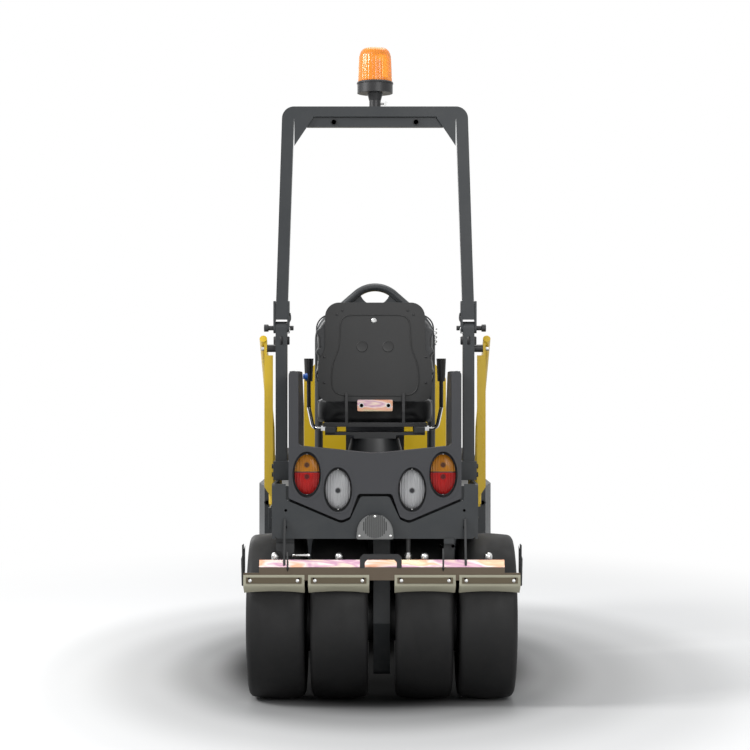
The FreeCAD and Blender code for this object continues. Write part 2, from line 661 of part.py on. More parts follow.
def controls():
    """Console, steering wheel, travel levers, lifting hoop and handrails."""
    console = side_slab(
        [
            (CONSOLE_Y, PLATFORM_Z, 0), (CONSOLE_Y + 5, 1080, 60), (CONSOLE_Y - 20, 1230, 20),
            (CONSOLE_Y - 135, 1185, 20), (CONSOLE_Y - 95, PLATFORM_Z, 0),
        ], -120, 120)
    foot = V(0, CONSOLE_Y - 115, 1185)
    head = V(0, CONSOLE_Y - 165, 1300)
    column = rod(foot, head, 22)
    save("console", fuse([console, column]).removeSplitter())
    lean = (head - foot).normalize()
    hub = head + lean * 0.3
    wheel = Part.makeTorus(165, 13, hub + lean * 26, lean)
    core = Part.makeCylinder(32, 34, hub, lean)
    spokes = []
    for turn in (90, 210, 330):
        arm = Part.makeCylinder(9, 160, hub + lean * 20, X_AXIS)
        arm.rotate(hub, X_AXIS, math.degrees(math.atan2(lean.z, lean.y)) - 90)
        arm.rotate(hub, lean, turn)
        spokes.append(arm)
    save("steering_wheel", fuse([wheel, core] + spokes))

    tube = 17.0
    leg = 236.0
    crown = 1642.0
    bend = 120.0
    shoulder = 1642.0 - 0.869 * leg
    y = -110.0
    hoop = bent_tube(
        [
            (-leg, y, PLATFORM_Z), (-leg, y, shoulder), (0, y, crown), (leg, y, shoulder),
            (leg, y, PLATFORM_Z),
        ], bend, tube)
    web = rear_slab(
        [
            (-leg + 86, shoulder + 50, 0), (leg - 86, shoulder + 50, 0), (70, crown - 68, 0),
            (-70, crown - 68, 0),
        ], y - 3, y + 3)
    web = web.cut(Part.makeCylinder(64, 20, V(0, y - 10, 1592), Y_AXIS))
    save("lifting_hoop", fuse([hoop, web]))

    rail_x = 429.0
    rear_y = -815.0
    top = bent_tube(
        [(rail_x, rear_y, 1369), (rail_x, -250, 1010), (rail_x - 4, -236, 700)], 70, 14.5)
    leg_side = side_slab(
        [
            (rear_y, 800, 0), (rear_y + 60, 800, 0), (rear_y + 60, 1335, 0), (rear_y, 1366, 0),
        ], 415, 425)
    leg_web = box(392, 415, rear_y, rear_y + 8, 800, 1305)
    foot = rear_slab(
        [(425, 800, 0), (400, 761, 4), (378.2, 761, 0), (378.2, 800, 0)], rear_y, rear_y + 60)
    low = box(378.2, rail_x + 6, -262, -218, 690, 703)
    rails = both_sides(fuse([top, leg_side, leg_web, foot, low]))
    save("handrails", Part.makeCompound(rails))
    buffer = rod((380.2, rear_y + 12, 1332), (414.4, rear_y + 12, 1332), 14.5)
    bolt = rod((425.2, rear_y + 12, 1332), (438, rear_y + 12, 1332), 9)
    save("rail_buffers", Part.makeCompound(both_sides(buffer) + both_sides(bolt)))

    lever = bent_tube(
        [(212, -560, 1020), (246, -560, 1020), (262, -580, 1100), (262, -590, 1210)], 24, 8)
    grip = Part.makeCone(15, 19, 90, V(262, -590, 1206))
    lever = fuse([lever, box(190.2, 214, -576, -544, 1010, 1030)])
    save("travel_levers", Part.makeCompound(both_sides(fuse([lever, grip]))))


# Articulation and front frame

def knuckle():
    """The link between the frames: a sleeve on the steering pin and a journal ahead of it."""
    sleeve = Part.makeCylinder(KNUCKLE_R, 2 * KNUCKLE_HALF,
                               V(0, STEER_Y, KNUCKLE_Z - KNUCKLE_HALF))
    journal = rod((0, STEER_Y, KNUCKLE_Z), (0, JOURNAL_END, KNUCKLE_Z), JOURNAL_R)
    shoulder = rod((0, STEER_Y, KNUCKLE_Z), (0, BEARING_Y - 0.3, KNUCKLE_Z), JOURNAL_R + 14)
    keeper = rod((0, FRONT_WALL_Y + 50.3, KNUCKLE_Z), (0, JOURNAL_END, KNUCKLE_Z), KEEPER_R)
    top = CYL_Z - EYE_HALF - 0.5
    arm = floor_slab(
        [
            (0, STEER_Y - 46, 0), (0, STEER_Y + 46, 0),
            (-CYL_ARM - EYE_R, STEER_Y + EYE_R, EYE_R - 1),
            (-CYL_ARM - EYE_R, STEER_Y - EYE_R, EYE_R - 1),
        ], top - CYL_ARM_T, top)
    body = fuse([sleeve, journal, shoulder, keeper, arm])
    bore = Part.makeCylinder(PIN_R + RUN, 400, V(0, STEER_Y, KNUCKLE_Z - 200))
    save("knuckle", body.cut(bore))


def front_frame():
    """Fork arms, rear wall with the journal's bearing, deck, front beam and shafts."""
    arm = side_slab(
        [
            (FRONT_WALL_Y, FRONT_WALL_LOW, 30), (560, 270, 80),
            (DRUM_AXLE_Y - 130, DRUM_R - 150, 60), (DRUM_AXLE_Y + 130, DRUM_R - 150, 60),
            (FRONT_END_Y - 40, 560, 60), (FRONT_END_Y - 40, 752, 20), (FRONT_WALL_Y, 752, 20),
        ], FORK_IN, FORK_OUT)
    arm = arm.cut(rod((FORK_IN - 1, *FRONT_EYE), (FORK_OUT + 1, *FRONT_EYE), EYE_BORE_R))
    pad = rod((FORK_IN - DRUM_RECESS + 14, DRUM_AXLE_Y, DRUM_R),
              (FORK_IN, DRUM_AXLE_Y, DRUM_R), DRUM_PAD_R)
    shaft = rod((DRUM_HALF - DRUM_RECESS - DRUM_PLATE - 40, DRUM_AXLE_Y, DRUM_R),
                (FORK_IN, DRUM_AXLE_Y, DRUM_R), DRUM_SHAFT_R)
    wall = box(-FORK_IN, FORK_IN, FRONT_WALL_Y, FRONT_WALL_Y + FRONT_WALL,
               FRONT_WALL_LOW, FRONT_DECK_Z)
    deck = box(-FORK_IN, FORK_IN, FRONT_WALL_Y, FRONT_END_Y - 40, FRONT_DECK_Z,
               FRONT_DECK_Z + FRONT_DECK)
    inner = box(-FORK_IN, FORK_IN, TUNNEL_Y - 12, TUNNEL_Y, 520, FRONT_DECK_Z)
    beam = box(-FORK_IN, FORK_IN, FRONT_END_Y - 50, FRONT_END_Y, 620, 740)
    bearing = rod((0, BEARING_Y, KNUCKLE_Z), (0, FRONT_WALL_Y + 50, KNUCKLE_Z), BEARING_R)
    body = fuse([wall, deck, inner, beam, bearing] + both_sides(arm)
                + both_sides(pad) + both_sides(shaft))
    bore = rod((0, BEARING_Y - 1, KNUCKLE_Z), (0, FRONT_WALL_Y + 51, KNUCKLE_Z), JOURNAL_R + RUN)
    save("front_frame", body.cut(bore))


def drum():
    """The smooth drum: a shell with a recessed plate and a bearing boss at each end."""
    plate_x = DRUM_HALF - DRUM_RECESS
    bore = DRUM_SHAFT_R + RUN
    shell = DRUM_R - DRUM_SHELL
    back = plate_x - DRUM_PLATE
    profile = [
        (-DRUM_HALF, DRUM_R, 4), (DRUM_HALF, DRUM_R, 4), (DRUM_HALF, shell, 2),
        (plate_x, shell, 0), (plate_x, bore, 0), (back - 40, bore, 0),
        (back - 40, DRUM_BOSS_R, 0), (back, DRUM_BOSS_R, 0), (back, shell, 0),
        (-back, shell, 0), (-back, DRUM_BOSS_R, 0), (-back + 40, DRUM_BOSS_R, 0),
        (-back + 40, bore, 0), (-plate_x, bore, 0), (-plate_x, shell, 0),
        (-DRUM_HALF, shell, 2),
    ]
    save("drum", turned(profile, DRUM_AXLE_Y, DRUM_R))


def hood():
    """The hood: sloped shoulders, open below, hinged at its front lower edge."""
    def outline(inset, y):
        return rounded_wire(
            [
                (-HOOD_HALF + inset, HOOD_LOW_Z, 0), (HOOD_HALF - inset, HOOD_LOW_Z, 0),
                (HOOD_HALF - inset, HOOD_SIDE_Z, 26),
                (HOOD_TOP_HALF - inset * 0.6, HOOD_TOP_Z - inset, 40),
                (-HOOD_TOP_HALF + inset * 0.6, HOOD_TOP_Z - inset, 40),
                (-HOOD_HALF + inset, HOOD_SIDE_Z, 26),
            ], lambda x, z: V(x, y, z))
    outer = Part.Face(outline(0, FRONT_WALL_Y)).extrude(V(0, HOOD_FRONT_Y - FRONT_WALL_Y, 0))
    inner = Part.Face(outline(HOOD_WALL, FRONT_WALL_Y + HOOD_WALL)).extrude(
        V(0, HOOD_FRONT_Y - FRONT_WALL_Y - 2 * HOOD_WALL, 0))
    slope = side_slab(
        [
            (HOOD_FRONT_Y - 150, HOOD_TOP_Z + 1, 0), (HOOD_FRONT_Y + 1, HOOD_TOP_Z + 1, 0),
            (HOOD_FRONT_Y + 1, 1000, 0),
        ], -400, 400)
    shell = outer.cut(inner.cut(slope.translated(V(0, -HOOD_WALL * 2, 0)))).cut(slope)
    ear = side_slab(
        [
            (HOOD_FRONT_Y, HOOD_HINGE_Z - HINGE_EAR, 0),
            (HOOD_HINGE_Y + HINGE_EAR, HOOD_HINGE_Z - HINGE_EAR, HINGE_EAR - 1),
            (HOOD_HINGE_Y + HINGE_EAR, HOOD_HINGE_Z + HINGE_EAR, HINGE_EAR - 1),
            (HOOD_FRONT_Y, HOOD_HINGE_Z + 50, 0),
        ], HINGE_X - HINGE_T, HINGE_X)
    body = fuse([shell] + both_sides(ear))
    bore = rod((HINGE_X - 60, HOOD_HINGE_Y, HOOD_HINGE_Z), (HINGE_X + 60, HOOD_HINGE_Y, HOOD_HINGE_Z),
               HINGE_R + RUN)
    for cut in both_sides(bore):
        body = body.cut(cut)
    save("hood", body)
    deck = FRONT_DECK_Z + FRONT_DECK
    bracket = side_slab(
        [
            (HOOD_HINGE_Y - HINGE_EAR, deck, 0), (HOOD_HINGE_Y + HINGE_EAR, deck, 0),
            (HOOD_HINGE_Y + HINGE_EAR, HOOD_HINGE_Z + HINGE_EAR, HINGE_EAR - 1),
            (HOOD_HINGE_Y - HINGE_EAR, HOOD_HINGE_Z + HINGE_EAR, HINGE_EAR - 1),
        ], HINGE_X + 1, HINGE_X + 1 + HINGE_T)
    pin = rod((HINGE_X - HINGE_T - 3, HOOD_HINGE_Y, HOOD_HINGE_Z),
              (HINGE_X + HINGE_T, HOOD_HINGE_Y, HOOD_HINGE_Z), HINGE_R)
    save("hood_hinges", Part.makeCompound(both_sides(fuse([bracket, pin]))))


def engine():
    """The engine as one plain block on the front frame's deck."""
    block = box(-230, 230, 330, 980, FRONT_DECK_Z + FRONT_DECK, 1210)
    save("engine_block", block)


def steering_cylinder():
    """Barrel on its post, and the rod whose eye lies on the knuckle's arm."""
    rear = V(CYL_POST_X, CYL_POST_Y, CYL_Z)
    front = V(-CYL_ARM, STEER_Y, CYL_Z)
    run = (front - rear).normalize()
    lift = V(0, 0, EYE_HALF)
    eye = Part.makeCylinder(EYE_R, 2 * EYE_HALF, rear - lift)
    body = Part.makeCylinder(CYL_R, CYL_BODY - EYE_R + 10, rear + run * (EYE_R - 10), run)
    hole = Part.makeCylinder(EYE_PIN_R + RUN, 2 * CYL_R + 2, rear - V(0, 0, CYL_R + 1))
    bore = Part.makeCylinder(ROD_R + RUN, CYL_BORE + 1, rear + run * (CYL_BODY + 1), run * -1)
    save("steering_barrel", fuse([eye, body]).cut(hole).cut(bore))
    reach = (front - rear).Length - CYL_BODY + ROD_IN
    shank = Part.makeCylinder(ROD_R, reach, front, run * -1)
    ring = Part.makeCylinder(EYE_R, 2 * EYE_HALF, front - lift)
    cap = Part.makeCylinder(EYE_R - 8, 8, front + lift)
    save("steering_rod", fuse([shank, ring, cap]))


wheels()
rear_chassis()
centre_box()
platform()
tank()
alarm()
scrapers()
rops()
seat()
controls()
knuckle()
front_frame()
drum()
hood()
engine()
steering_cylinder()
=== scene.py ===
# %% [markdown]
# # A small combination roller, seen from behind
# The machine has a smooth steel drum in front and four smooth tyres behind. Its construction
# comes from a CAD model, so every sub-part already has its size and place. This lesson dresses
# that model: it gives each part its finish, rounds its edges, and adds the small things that
# the eye reads as real, such as bolts, lamp glass, nozzles, hoses and seat foam.

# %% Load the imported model
import bmesh
import bpy
import json
import math
from mathutils import Matrix, Vector


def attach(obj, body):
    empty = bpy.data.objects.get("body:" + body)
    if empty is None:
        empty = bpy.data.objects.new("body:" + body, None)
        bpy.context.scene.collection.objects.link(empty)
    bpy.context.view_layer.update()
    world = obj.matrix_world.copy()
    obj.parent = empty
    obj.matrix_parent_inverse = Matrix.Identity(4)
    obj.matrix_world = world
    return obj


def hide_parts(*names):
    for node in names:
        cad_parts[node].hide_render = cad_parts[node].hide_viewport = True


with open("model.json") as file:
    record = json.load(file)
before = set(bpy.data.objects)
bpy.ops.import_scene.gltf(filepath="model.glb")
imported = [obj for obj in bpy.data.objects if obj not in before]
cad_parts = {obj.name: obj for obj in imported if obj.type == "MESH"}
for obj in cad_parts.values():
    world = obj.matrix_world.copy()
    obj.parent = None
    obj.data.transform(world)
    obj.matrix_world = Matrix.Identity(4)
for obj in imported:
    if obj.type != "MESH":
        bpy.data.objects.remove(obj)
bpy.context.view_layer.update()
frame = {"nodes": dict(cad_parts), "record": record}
MM = 0.001
nodes = frame["nodes"]
body_of_node = {n: b for b, members in frame["record"]["behaviour"]["bodies"].items() for n in members}

# %% [markdown]
# ## Camera, light and floor
# The photograph was taken level, straight from behind, from the height of the seat. A long
# lens about 7.3 m behind the rear axle gives its perspective. The horizon lies a little under
# the middle of the picture, and a small lens shift puts it there while the camera stays level.
# A pale floor and a white world stand for the studio, and four broad lamps give soft light.
# The floor's own colour darkens towards the machine and to near black under it: a painted
# shadow, added to the lamps' own shadows.

# %% Camera
CAMERA_Y = -8.170
CAMERA_Z = 1.1795
LENS = 91.94
HORIZON_SHIFT = 13 / 750
scene = bpy.context.scene
camera_data = bpy.data.cameras.new("camera")
camera_data.lens = LENS
camera_data.sensor_width = 36
camera_data.shift_y = HORIZON_SHIFT
camera = bpy.data.objects.new("camera", camera_data)
camera.location = (0, CAMERA_Y, CAMERA_Z)
camera.rotation_euler = (math.radians(90), 0, 0)
scene.collection.objects.link(camera)
scene.camera = camera
scene.view_settings.view_transform = "Standard"
print("camera", tuple(camera.location))


# %% Helpers for node trees
def link(tree, source, target):
    """Join an output socket to an input socket."""
    tree.links.new(source, target)


def wire(tree, *rows):
    """Join many sockets: each row is a node, its output, the next node and its input."""
    for source, output, target, entry in rows:
        link(tree, source.outputs[output], target.inputs[entry])


def add_node(tree, kind, **values):
    """Add a shader or geometry node; values name its input sockets or its own settings."""
    node = tree.nodes.new(kind)
    for key, value in values.items():
        if hasattr(node, key):
            setattr(node, key, value)
        else:
            node.inputs[key.replace("_", " ")].default_value = value
    return node


def set_stops(ramp, stops):
    """Give a colour ramp its (position, colour) stops, in rising order."""
    for element, (at, colour) in zip(ramp.elements, (stops[0], stops[-1])):
        element.position = at
        element.color = colour
    for at, colour in stops[1:-1]:
        ramp.elements.new(at).color = colour


# %% Lamps, world and floor
world = bpy.data.worlds.new("studio")
scene.world = world
world.use_nodes = True
tree = world.node_tree
tree.nodes.clear()
seen = add_node(tree, "ShaderNodeLightPath")
grey = add_node(tree, "ShaderNodeBackground", Color=(0.86, 0.88, 0.9, 1), Strength=0.62)
white = add_node(tree, "ShaderNodeBackground", Color=(1, 1, 1, 1), Strength=1.0)
glossy = add_node(tree, "ShaderNodeMath", operation="MAXIMUM")
either = add_node(tree, "ShaderNodeMath", operation="MAXIMUM")
mix = add_node(tree, "ShaderNodeMixShader")
out = add_node(tree, "ShaderNodeOutputWorld")
wire(tree, (seen, "Is Camera Ray", glossy, 0), (seen, "Is Glossy Ray", glossy, 1),
     (glossy, 0, either, 0), (seen, "Is Transmission Ray", either, 1), (either, 0, mix, 0),
     (grey, 0, mix, 1), (white, 0, mix, 2), (mix, 0, out, 0))

LAMPS = (
    # name, place, aim, size, power in watts
    ("key", (-4.6, -2.6, 4.4), (0, -0.3, 0.8), 1.8, 260),
    ("fill", (2.4, -6.6, 3.2), (0, -0.6, 1.0), 2.6, 130),
    ("top", (0.3, 0.2, 5.4), (0, 0, 0.8), 3.0, 120),
    ("front", (-2.6, 5.5, 3.2), (0, 0.6, 0.8), 3.0, 60),
)
for name, place, aim, size, power in LAMPS:
    data = bpy.data.lights.new(name, "AREA")
    data.size = size
    data.energy = power
    lamp = bpy.data.objects.new(name, data)
    lamp.location = place
    lamp.rotation_euler = (Vector(aim) - Vector(place)).to_track_quat("-Z", "Y").to_euler()
    scene.collection.objects.link(lamp)

# The floor tones below are a painted shadow: near black under the machine, grey beside it, pale further
# out.
FLOOR_HALF = 60.0
SHADE_SQUEEZE = (1.15, 0.62, 1.0)
PAINTED_SHADOW_REACH = 2.4
FADE_START = 1.5
FADE_END = 4.0
UNDER_MACHINE_PAINTED_SHADOW = 0.01
NEAR_PAINTED_SHADOW = 0.33
FAR_TONE = 0.80
floor_mesh = bpy.data.meshes.new("studio_floor")
floor_mesh.from_pydata(
    [(x * FLOOR_HALF, y * FLOOR_HALF, 0) for x, y in ((-1, -1), (1, -1), (1, 1), (-1, 1))],
    [], [(0, 1, 2, 3)])
floor = bpy.data.objects.new("studio_floor", floor_mesh)
scene.collection.objects.link(floor)
paper = bpy.data.materials.new("studio_paper")
paper.use_nodes = True
tree = paper.node_tree
paper_shader = tree.nodes["Principled BSDF"]
paper_shader.inputs["Base Color"].default_value = (0.93, 0.93, 0.93, 1)
paper_shader.inputs["Roughness"].default_value = 0.85
paper_shader.inputs["Specular IOR Level"].default_value = 0.15
where = add_node(tree, "ShaderNodeTexCoord")
squeezed = add_node(tree, "ShaderNodeMapping")
squeezed.inputs["Scale"].default_value = SHADE_SQUEEZE
distance = add_node(tree, "ShaderNodeVectorMath", operation="LENGTH")
fade = add_node(tree, "ShaderNodeMapRange", From_Min=FADE_START, From_Max=FADE_END)
fade.interpolation_type = "SMOOTHSTEP"
glow = add_node(tree, "ShaderNodeEmission", Color=(1, 1, 1, 1), Strength=1.0)
seen = add_node(tree, "ShaderNodeLightPath")
far = add_node(tree, "ShaderNodeMath", operation="MULTIPLY")
blend = add_node(tree, "ShaderNodeMixShader")
share = add_node(tree, "ShaderNodeMapRange", From_Max=PAINTED_SHADOW_REACH)
painted_shadow_ramp = add_node(tree, "ShaderNodeValToRGB")
painted_shadow_ramp.color_ramp.interpolation = "EASE"
# Painted shadow: the floor's base colour, by squeezed distance from the machine.
PAINTED_SHADOW_TONES = ((0.24, UNDER_MACHINE_PAINTED_SHADOW), (0.35, NEAR_PAINTED_SHADOW), (0.46, 0.50), (0.61, 0.64), (0.8, FAR_TONE))
set_stops(painted_shadow_ramp.color_ramp, [(at, (tone, tone, tone, 1)) for at, tone in PAINTED_SHADOW_TONES])
wire(tree, (distance, "Value", share, "Value"), (share, "Result", painted_shadow_ramp, "Fac"),
     (painted_shadow_ramp, "Color", paper_shader, "Base Color"), (where, "Object", squeezed, "Vector"),
     (squeezed, 0, distance, 0), (distance, "Value", fade, "Value"), (fade, "Result", far, 0),
     (seen, "Is Camera Ray", far, 1), (far, 0, blend, 0), (paper_shader, 0, blend, 1),
     (glow, 0, blend, 2))
link(tree, blend.outputs[0], tree.nodes["Material Output"].inputs["Surface"])
floor_mesh.materials.append(paper)
print("lamps", len(LAMPS))

# %% [markdown]
# ## Shared surface effects
# Real surfaces are never one flat colour. Three effects are used all over this machine, so each
# is a node group with named inputs: a fine grain for moulded plastic and rubber, the soft
# waviness of sprayed paint, and road dust that settles on what faces up and near the ground.
# A fourth group draws the upright ribs and the dark sockets of the lamp glass.


# %% Groups for grain, paint, dust and lamp glass
def new_group(name, inputs, outputs):
    """A shader node group with float or colour sockets, given as (name, kind, value)."""
    group = bpy.data.node_groups.new(name, "ShaderNodeTree")
    kinds = {"float": "NodeSocketFloat", "color": "NodeSocketColor"}
    for label, kind, value in inputs:
        socket = group.interface.new_socket(label, in_out="INPUT", socket_type=kinds[kind])
        socket.default_value = value
    for label, kind in outputs:
        group.interface.new_socket(label, in_out="OUTPUT", socket_type=kinds[kind])
    return group, group.nodes.new("NodeGroupInput"), group.nodes.new("NodeGroupOutput")


def make_grain_group():
    """Fine bumps of moulded plastic: a cell pattern and a noise, put out as a height."""
    group, source, sink = new_group(
        "moulded_grain", [("Scale", "float", 900.0), ("Amount", "float", 1.0)],
        [("Height", "float"), ("Mask", "float")])
    where = add_node(group, "ShaderNodeTexCoord")
    cells = add_node(group, "ShaderNodeTexVoronoi", feature="SMOOTH_F1")
    noise = add_node(group, "ShaderNodeTexNoise", Detail=3.0)
    slow = add_node(group, "ShaderNodeTexNoise", Scale=3.5, Detail=5.0)
    blend = add_node(group, "ShaderNodeMath", operation="ADD")
    gain = add_node(group, "ShaderNodeMath", operation="MULTIPLY")
    for tex in (cells, noise, slow):
        link(group, where.outputs["Object"], tex.inputs["Vector"])
    for tex in (cells, noise):
        link(group, source.outputs["Scale"], tex.inputs["Scale"])
    wire(group, (cells, "Distance", blend, 0), (noise, "Fac", blend, 1), (blend, 0, gain, 0),
         (source, "Amount", gain, 1), (gain, 0, sink, "Height"), (slow, "Fac", sink, "Mask"))
    return group


def make_paint_group():
    """Orange peel of sprayed paint as a height, and a slow change in gloss as a mask."""
    group, source, sink = new_group(
        "sprayed_paint", [("Peel", "float", 130.0), ("Rough low", "float", 0.3),
                          ("Rough high", "float", 0.5)],
        [("Height", "float"), ("Roughness", "float")])
    where = add_node(group, "ShaderNodeTexCoord")
    peel = add_node(group, "ShaderNodeTexNoise", Detail=2.0)
    slow = add_node(group, "ShaderNodeTexNoise", Scale=4.0, Detail=6.0)
    spread = add_node(group, "ShaderNodeMapRange", From_Min=0.3, From_Max=0.7)
    wire(group, (where, "Object", peel, "Vector"), (where, "Object", slow, "Vector"),
         (source, "Peel", peel, "Scale"), (slow, "Fac", spread, "Value"),
         (source, "Rough low", spread, "To Min"), (source, "Rough high", spread, "To Max"),
         (peel, "Fac", sink, "Height"), (spread, "Result", sink, "Roughness"))
    return group


def make_dust_group():
    """A thin coat of dust: more on faces that look up and close to the ground."""
    group, source, sink = new_group(
        "road_dust", [("Color", "color", (0.1, 0.1, 0.1, 1)), ("Dust", "color", (0.32, 0.29, 0.25, 1)),
                      ("Amount", "float", 0.2)],
        [("Color", "color"), ("Mask", "float")])
    where = add_node(group, "ShaderNodeTexCoord")
    facing = add_node(group, "ShaderNodeNewGeometry")
    split = add_node(group, "ShaderNodeSeparateXYZ")
    height = add_node(group, "ShaderNodeSeparateXYZ")
    up = add_node(group, "ShaderNodeMapRange", From_Min=0.2, From_Max=1.0, To_Min=0.25, To_Max=1.0)
    low = add_node(group, "ShaderNodeMapRange", From_Min=0.0, From_Max=0.9, To_Min=1.0, To_Max=0.35)
    speckle = add_node(group, "ShaderNodeTexNoise", Scale=14.0, Detail=8.0, Roughness=0.65)
    patch = add_node(group, "ShaderNodeMapRange", From_Min=0.42, From_Max=0.72)
    both = add_node(group, "ShaderNodeMath", operation="MULTIPLY")
    scaled = add_node(group, "ShaderNodeMath", operation="MULTIPLY")
    mask = add_node(group, "ShaderNodeMath", operation="MULTIPLY", use_clamp=True)
    colour = add_node(group, "ShaderNodeMix", data_type="RGBA")
    wire(group, (facing, "Normal", split, 0), (where, "Object", height, 0),
         (where, "Object", speckle, "Vector"), (split, "Z", up, "Value"), (height, "Z", low, "Value"),
         (speckle, "Fac", patch, "Value"), (up, "Result", both, 0), (low, "Result", both, 1),
         (both, 0, scaled, 0), (patch, "Result", scaled, 1), (scaled, 0, mask, 0),
         (source, "Amount", mask, 1), (mask, 0, colour, 0), (source, "Color", colour, 6),
         (source, "Dust", colour, 7), (colour, 2, sink, "Color"), (mask, 0, sink, "Mask"))
    return group


def make_lamp_group():
    """Fluted lamp glass: upright ribs as a height, and a dark socket round a centre as a mask."""
    group, source, sink = new_group(
        "lamp_pattern", [("Centre X", "float", 0.1), ("Centre Z", "float", 0.8),
                         ("Radius", "float", 0.02), ("Ribs", "float", 1000.0)],
        [("Height", "float"), ("Mask", "float")])
    where = add_node(group, "ShaderNodeTexCoord")
    split = add_node(group, "ShaderNodeSeparateXYZ")
    side = add_node(group, "ShaderNodeMath", operation="ABSOLUTE")
    spot = add_node(group, "ShaderNodeCombineXYZ")
    centre = add_node(group, "ShaderNodeCombineXYZ")
    away = add_node(group, "ShaderNodeVectorMath", operation="DISTANCE")
    share = add_node(group, "ShaderNodeMath", operation="DIVIDE")
    soft = add_node(group, "ShaderNodeMapRange", From_Min=0.7, From_Max=1.5)
    soft.interpolation_type = "SMOOTHSTEP"
    phase = add_node(group, "ShaderNodeMath", operation="MULTIPLY")
    wave = add_node(group, "ShaderNodeMath", operation="SINE")
    wire(group, (where, "Object", split, 0), (split, "X", side, 0), (side, 0, spot, "X"),
         (split, "Z", spot, "Z"), (source, "Centre X", centre, "X"), (source, "Centre Z", centre, "Z"),
         (spot, 0, away, 0), (centre, 0, away, 1), (away, "Value", share, 0),
         (source, "Radius", share, 1), (share, 0, soft, "Value"), (side, 0, phase, 0),
         (source, "Ribs", phase, 1), (phase, 0, wave, 0), (wave, 0, sink, "Height"),
         (soft, "Result", sink, "Mask"))
    return group


GRAIN = make_grain_group()
PAINT = make_paint_group()
DUST = make_dust_group()
LAMP = make_lamp_group()
print("groups", [g.name for g in (GRAIN, PAINT, DUST, LAMP)])


# %% [markdown]
# ## Materials
# Each finish of the machine gets its own material: the dark grey and the yellow paint, the
# grained plastic of the tank, tyre rubber, rolled steel of the drum, the rainbow film of
# yellow-passivated zinc, the coloured lamp glass and the seat's leathercloth.


# %% Paint, plastic, rubber and steel
def use_group(tree, group, **values):
    """Place a shared group in a material and set its own values."""
    node = tree.nodes.new("ShaderNodeGroup")
    node.node_tree = group
    for key, value in values.items():
        node.inputs[key.replace("_", " ")].default_value = value
    return node


def new_material(name, **settings):
    """A material with its Principled shader; settings name that shader's sockets."""
    material = bpy.data.materials.new(name)
    material.use_nodes = True
    shader = material.node_tree.nodes["Principled BSDF"]
    for key, value in settings.items():
        shader.inputs[key.replace("_", " ")].default_value = value
    return material, material.node_tree, shader


def bump_from(tree, shader, height, strength, distance):
    """Feed a height through a Bump node to the shader's normal."""
    bump = add_node(tree, "ShaderNodeBump", Strength=strength, Distance=distance)
    link(tree, height, bump.inputs["Height"])
    link(tree, bump.outputs[0], shader.inputs["Normal"])


def dust_on(tree, shader, colour, amount):
    """The base colour under a coat of road dust."""
    dirt = use_group(tree, DUST, Color=colour, Amount=amount)
    link(tree, dirt.outputs["Color"], shader.inputs["Base Color"])


def gloss_from(tree, shader, mask, low, high, start=0.0, end=1.0):
    """Roughness from low to high as a mask runs from start to end."""
    gloss = add_node(tree, "ShaderNodeMapRange", From_Min=start, From_Max=end, To_Min=low, To_Max=high)
    link(tree, mask, gloss.inputs["Value"])
    link(tree, gloss.outputs["Result"], shader.inputs["Roughness"])


def stretched_noise(tree, stretch, **values):
    """A noise on object coordinates that are stretched along the axes; put out as a value."""
    where = add_node(tree, "ShaderNodeTexCoord")
    place = add_node(tree, "ShaderNodeMapping")
    place.inputs["Scale"].default_value = stretch
    noise = add_node(tree, "ShaderNodeTexNoise", **values)
    wire(tree, (where, "Object", place, "Vector"), (place, 0, noise, "Vector"))
    return noise.outputs["Fac"]


def painted(name, colour, low, high, dust, peel=130.0, bump=0.08, coat=0.0):
    """Sprayed paint on steel."""
    material, tree, shader = new_material(name, Coat_Weight=coat, Coat_Roughness=0.15)
    paint = use_group(tree, PAINT, Peel=peel, Rough_low=low, Rough_high=high)
    dust_on(tree, shader, colour, dust)
    link(tree, paint.outputs["Roughness"], shader.inputs["Roughness"])
    bump_from(tree, shader, paint.outputs["Height"], bump, 0.001)
    return material


def moulded(name, colour, rough, dust, scale=900.0, bump=0.25):
    """Grained moulded plastic."""
    material, tree, shader = new_material(name)
    grain = use_group(tree, GRAIN, Scale=scale)
    dust_on(tree, shader, colour, dust)
    gloss_from(tree, shader, grain.outputs["Mask"], rough - 0.07, rough + 0.09, 0.3, 0.7)
    bump_from(tree, shader, grain.outputs["Height"], bump, 0.0006)
    return material


def bare_metal(name, colour, low, high, stretch=(1, 1, 1), scale=60.0, bump=0.05, dust=0.1):
    """Bare or plated metal with a drawn or rolled grain, stretched along one axis."""
    material, tree, shader = new_material(name, Metallic=1.0)
    grain = stretched_noise(tree, stretch, Scale=scale, Detail=6.0, Roughness=0.6)
    dust_on(tree, shader, colour, dust)
    gloss_from(tree, shader, grain, low, high, 0.3, 0.7)
    bump_from(tree, shader, grain, bump, 0.001)
    return material


GREY_PAINT = (0.0165, 0.0195, 0.022, 1)
grey_paint = painted("grey_paint", GREY_PAINT, 0.38, 0.52, 0.18)
dark_paint = painted("dark_paint", (0.011, 0.012, 0.013, 1), 0.4, 0.55, 0.12)
seat_plate_paint = painted("seat_plate_paint", (0.0185, 0.0185, 0.0185, 1), 0.5, 0.6, 0.05, bump=0.04)
yellow_paint = painted("yellow_paint", (0.58, 0.385, 0.008, 1), 0.25, 0.38, 0.06, coat=0.25)
tank_plastic = moulded("tank_plastic", (0.024, 0.025, 0.029, 1), 0.5, 0.04)
black_plastic = moulded("black_plastic", (0.009, 0.009, 0.010, 1), 0.42, 0.06, bump=0.12)
light_plastic = moulded("light_plastic", (0.145, 0.147, 0.145, 1), 0.5, 0.05, bump=0.12)
blue_plastic = moulded("blue_plastic", (0.01, 0.10, 0.42, 1), 0.4, 0.02, bump=0.1)
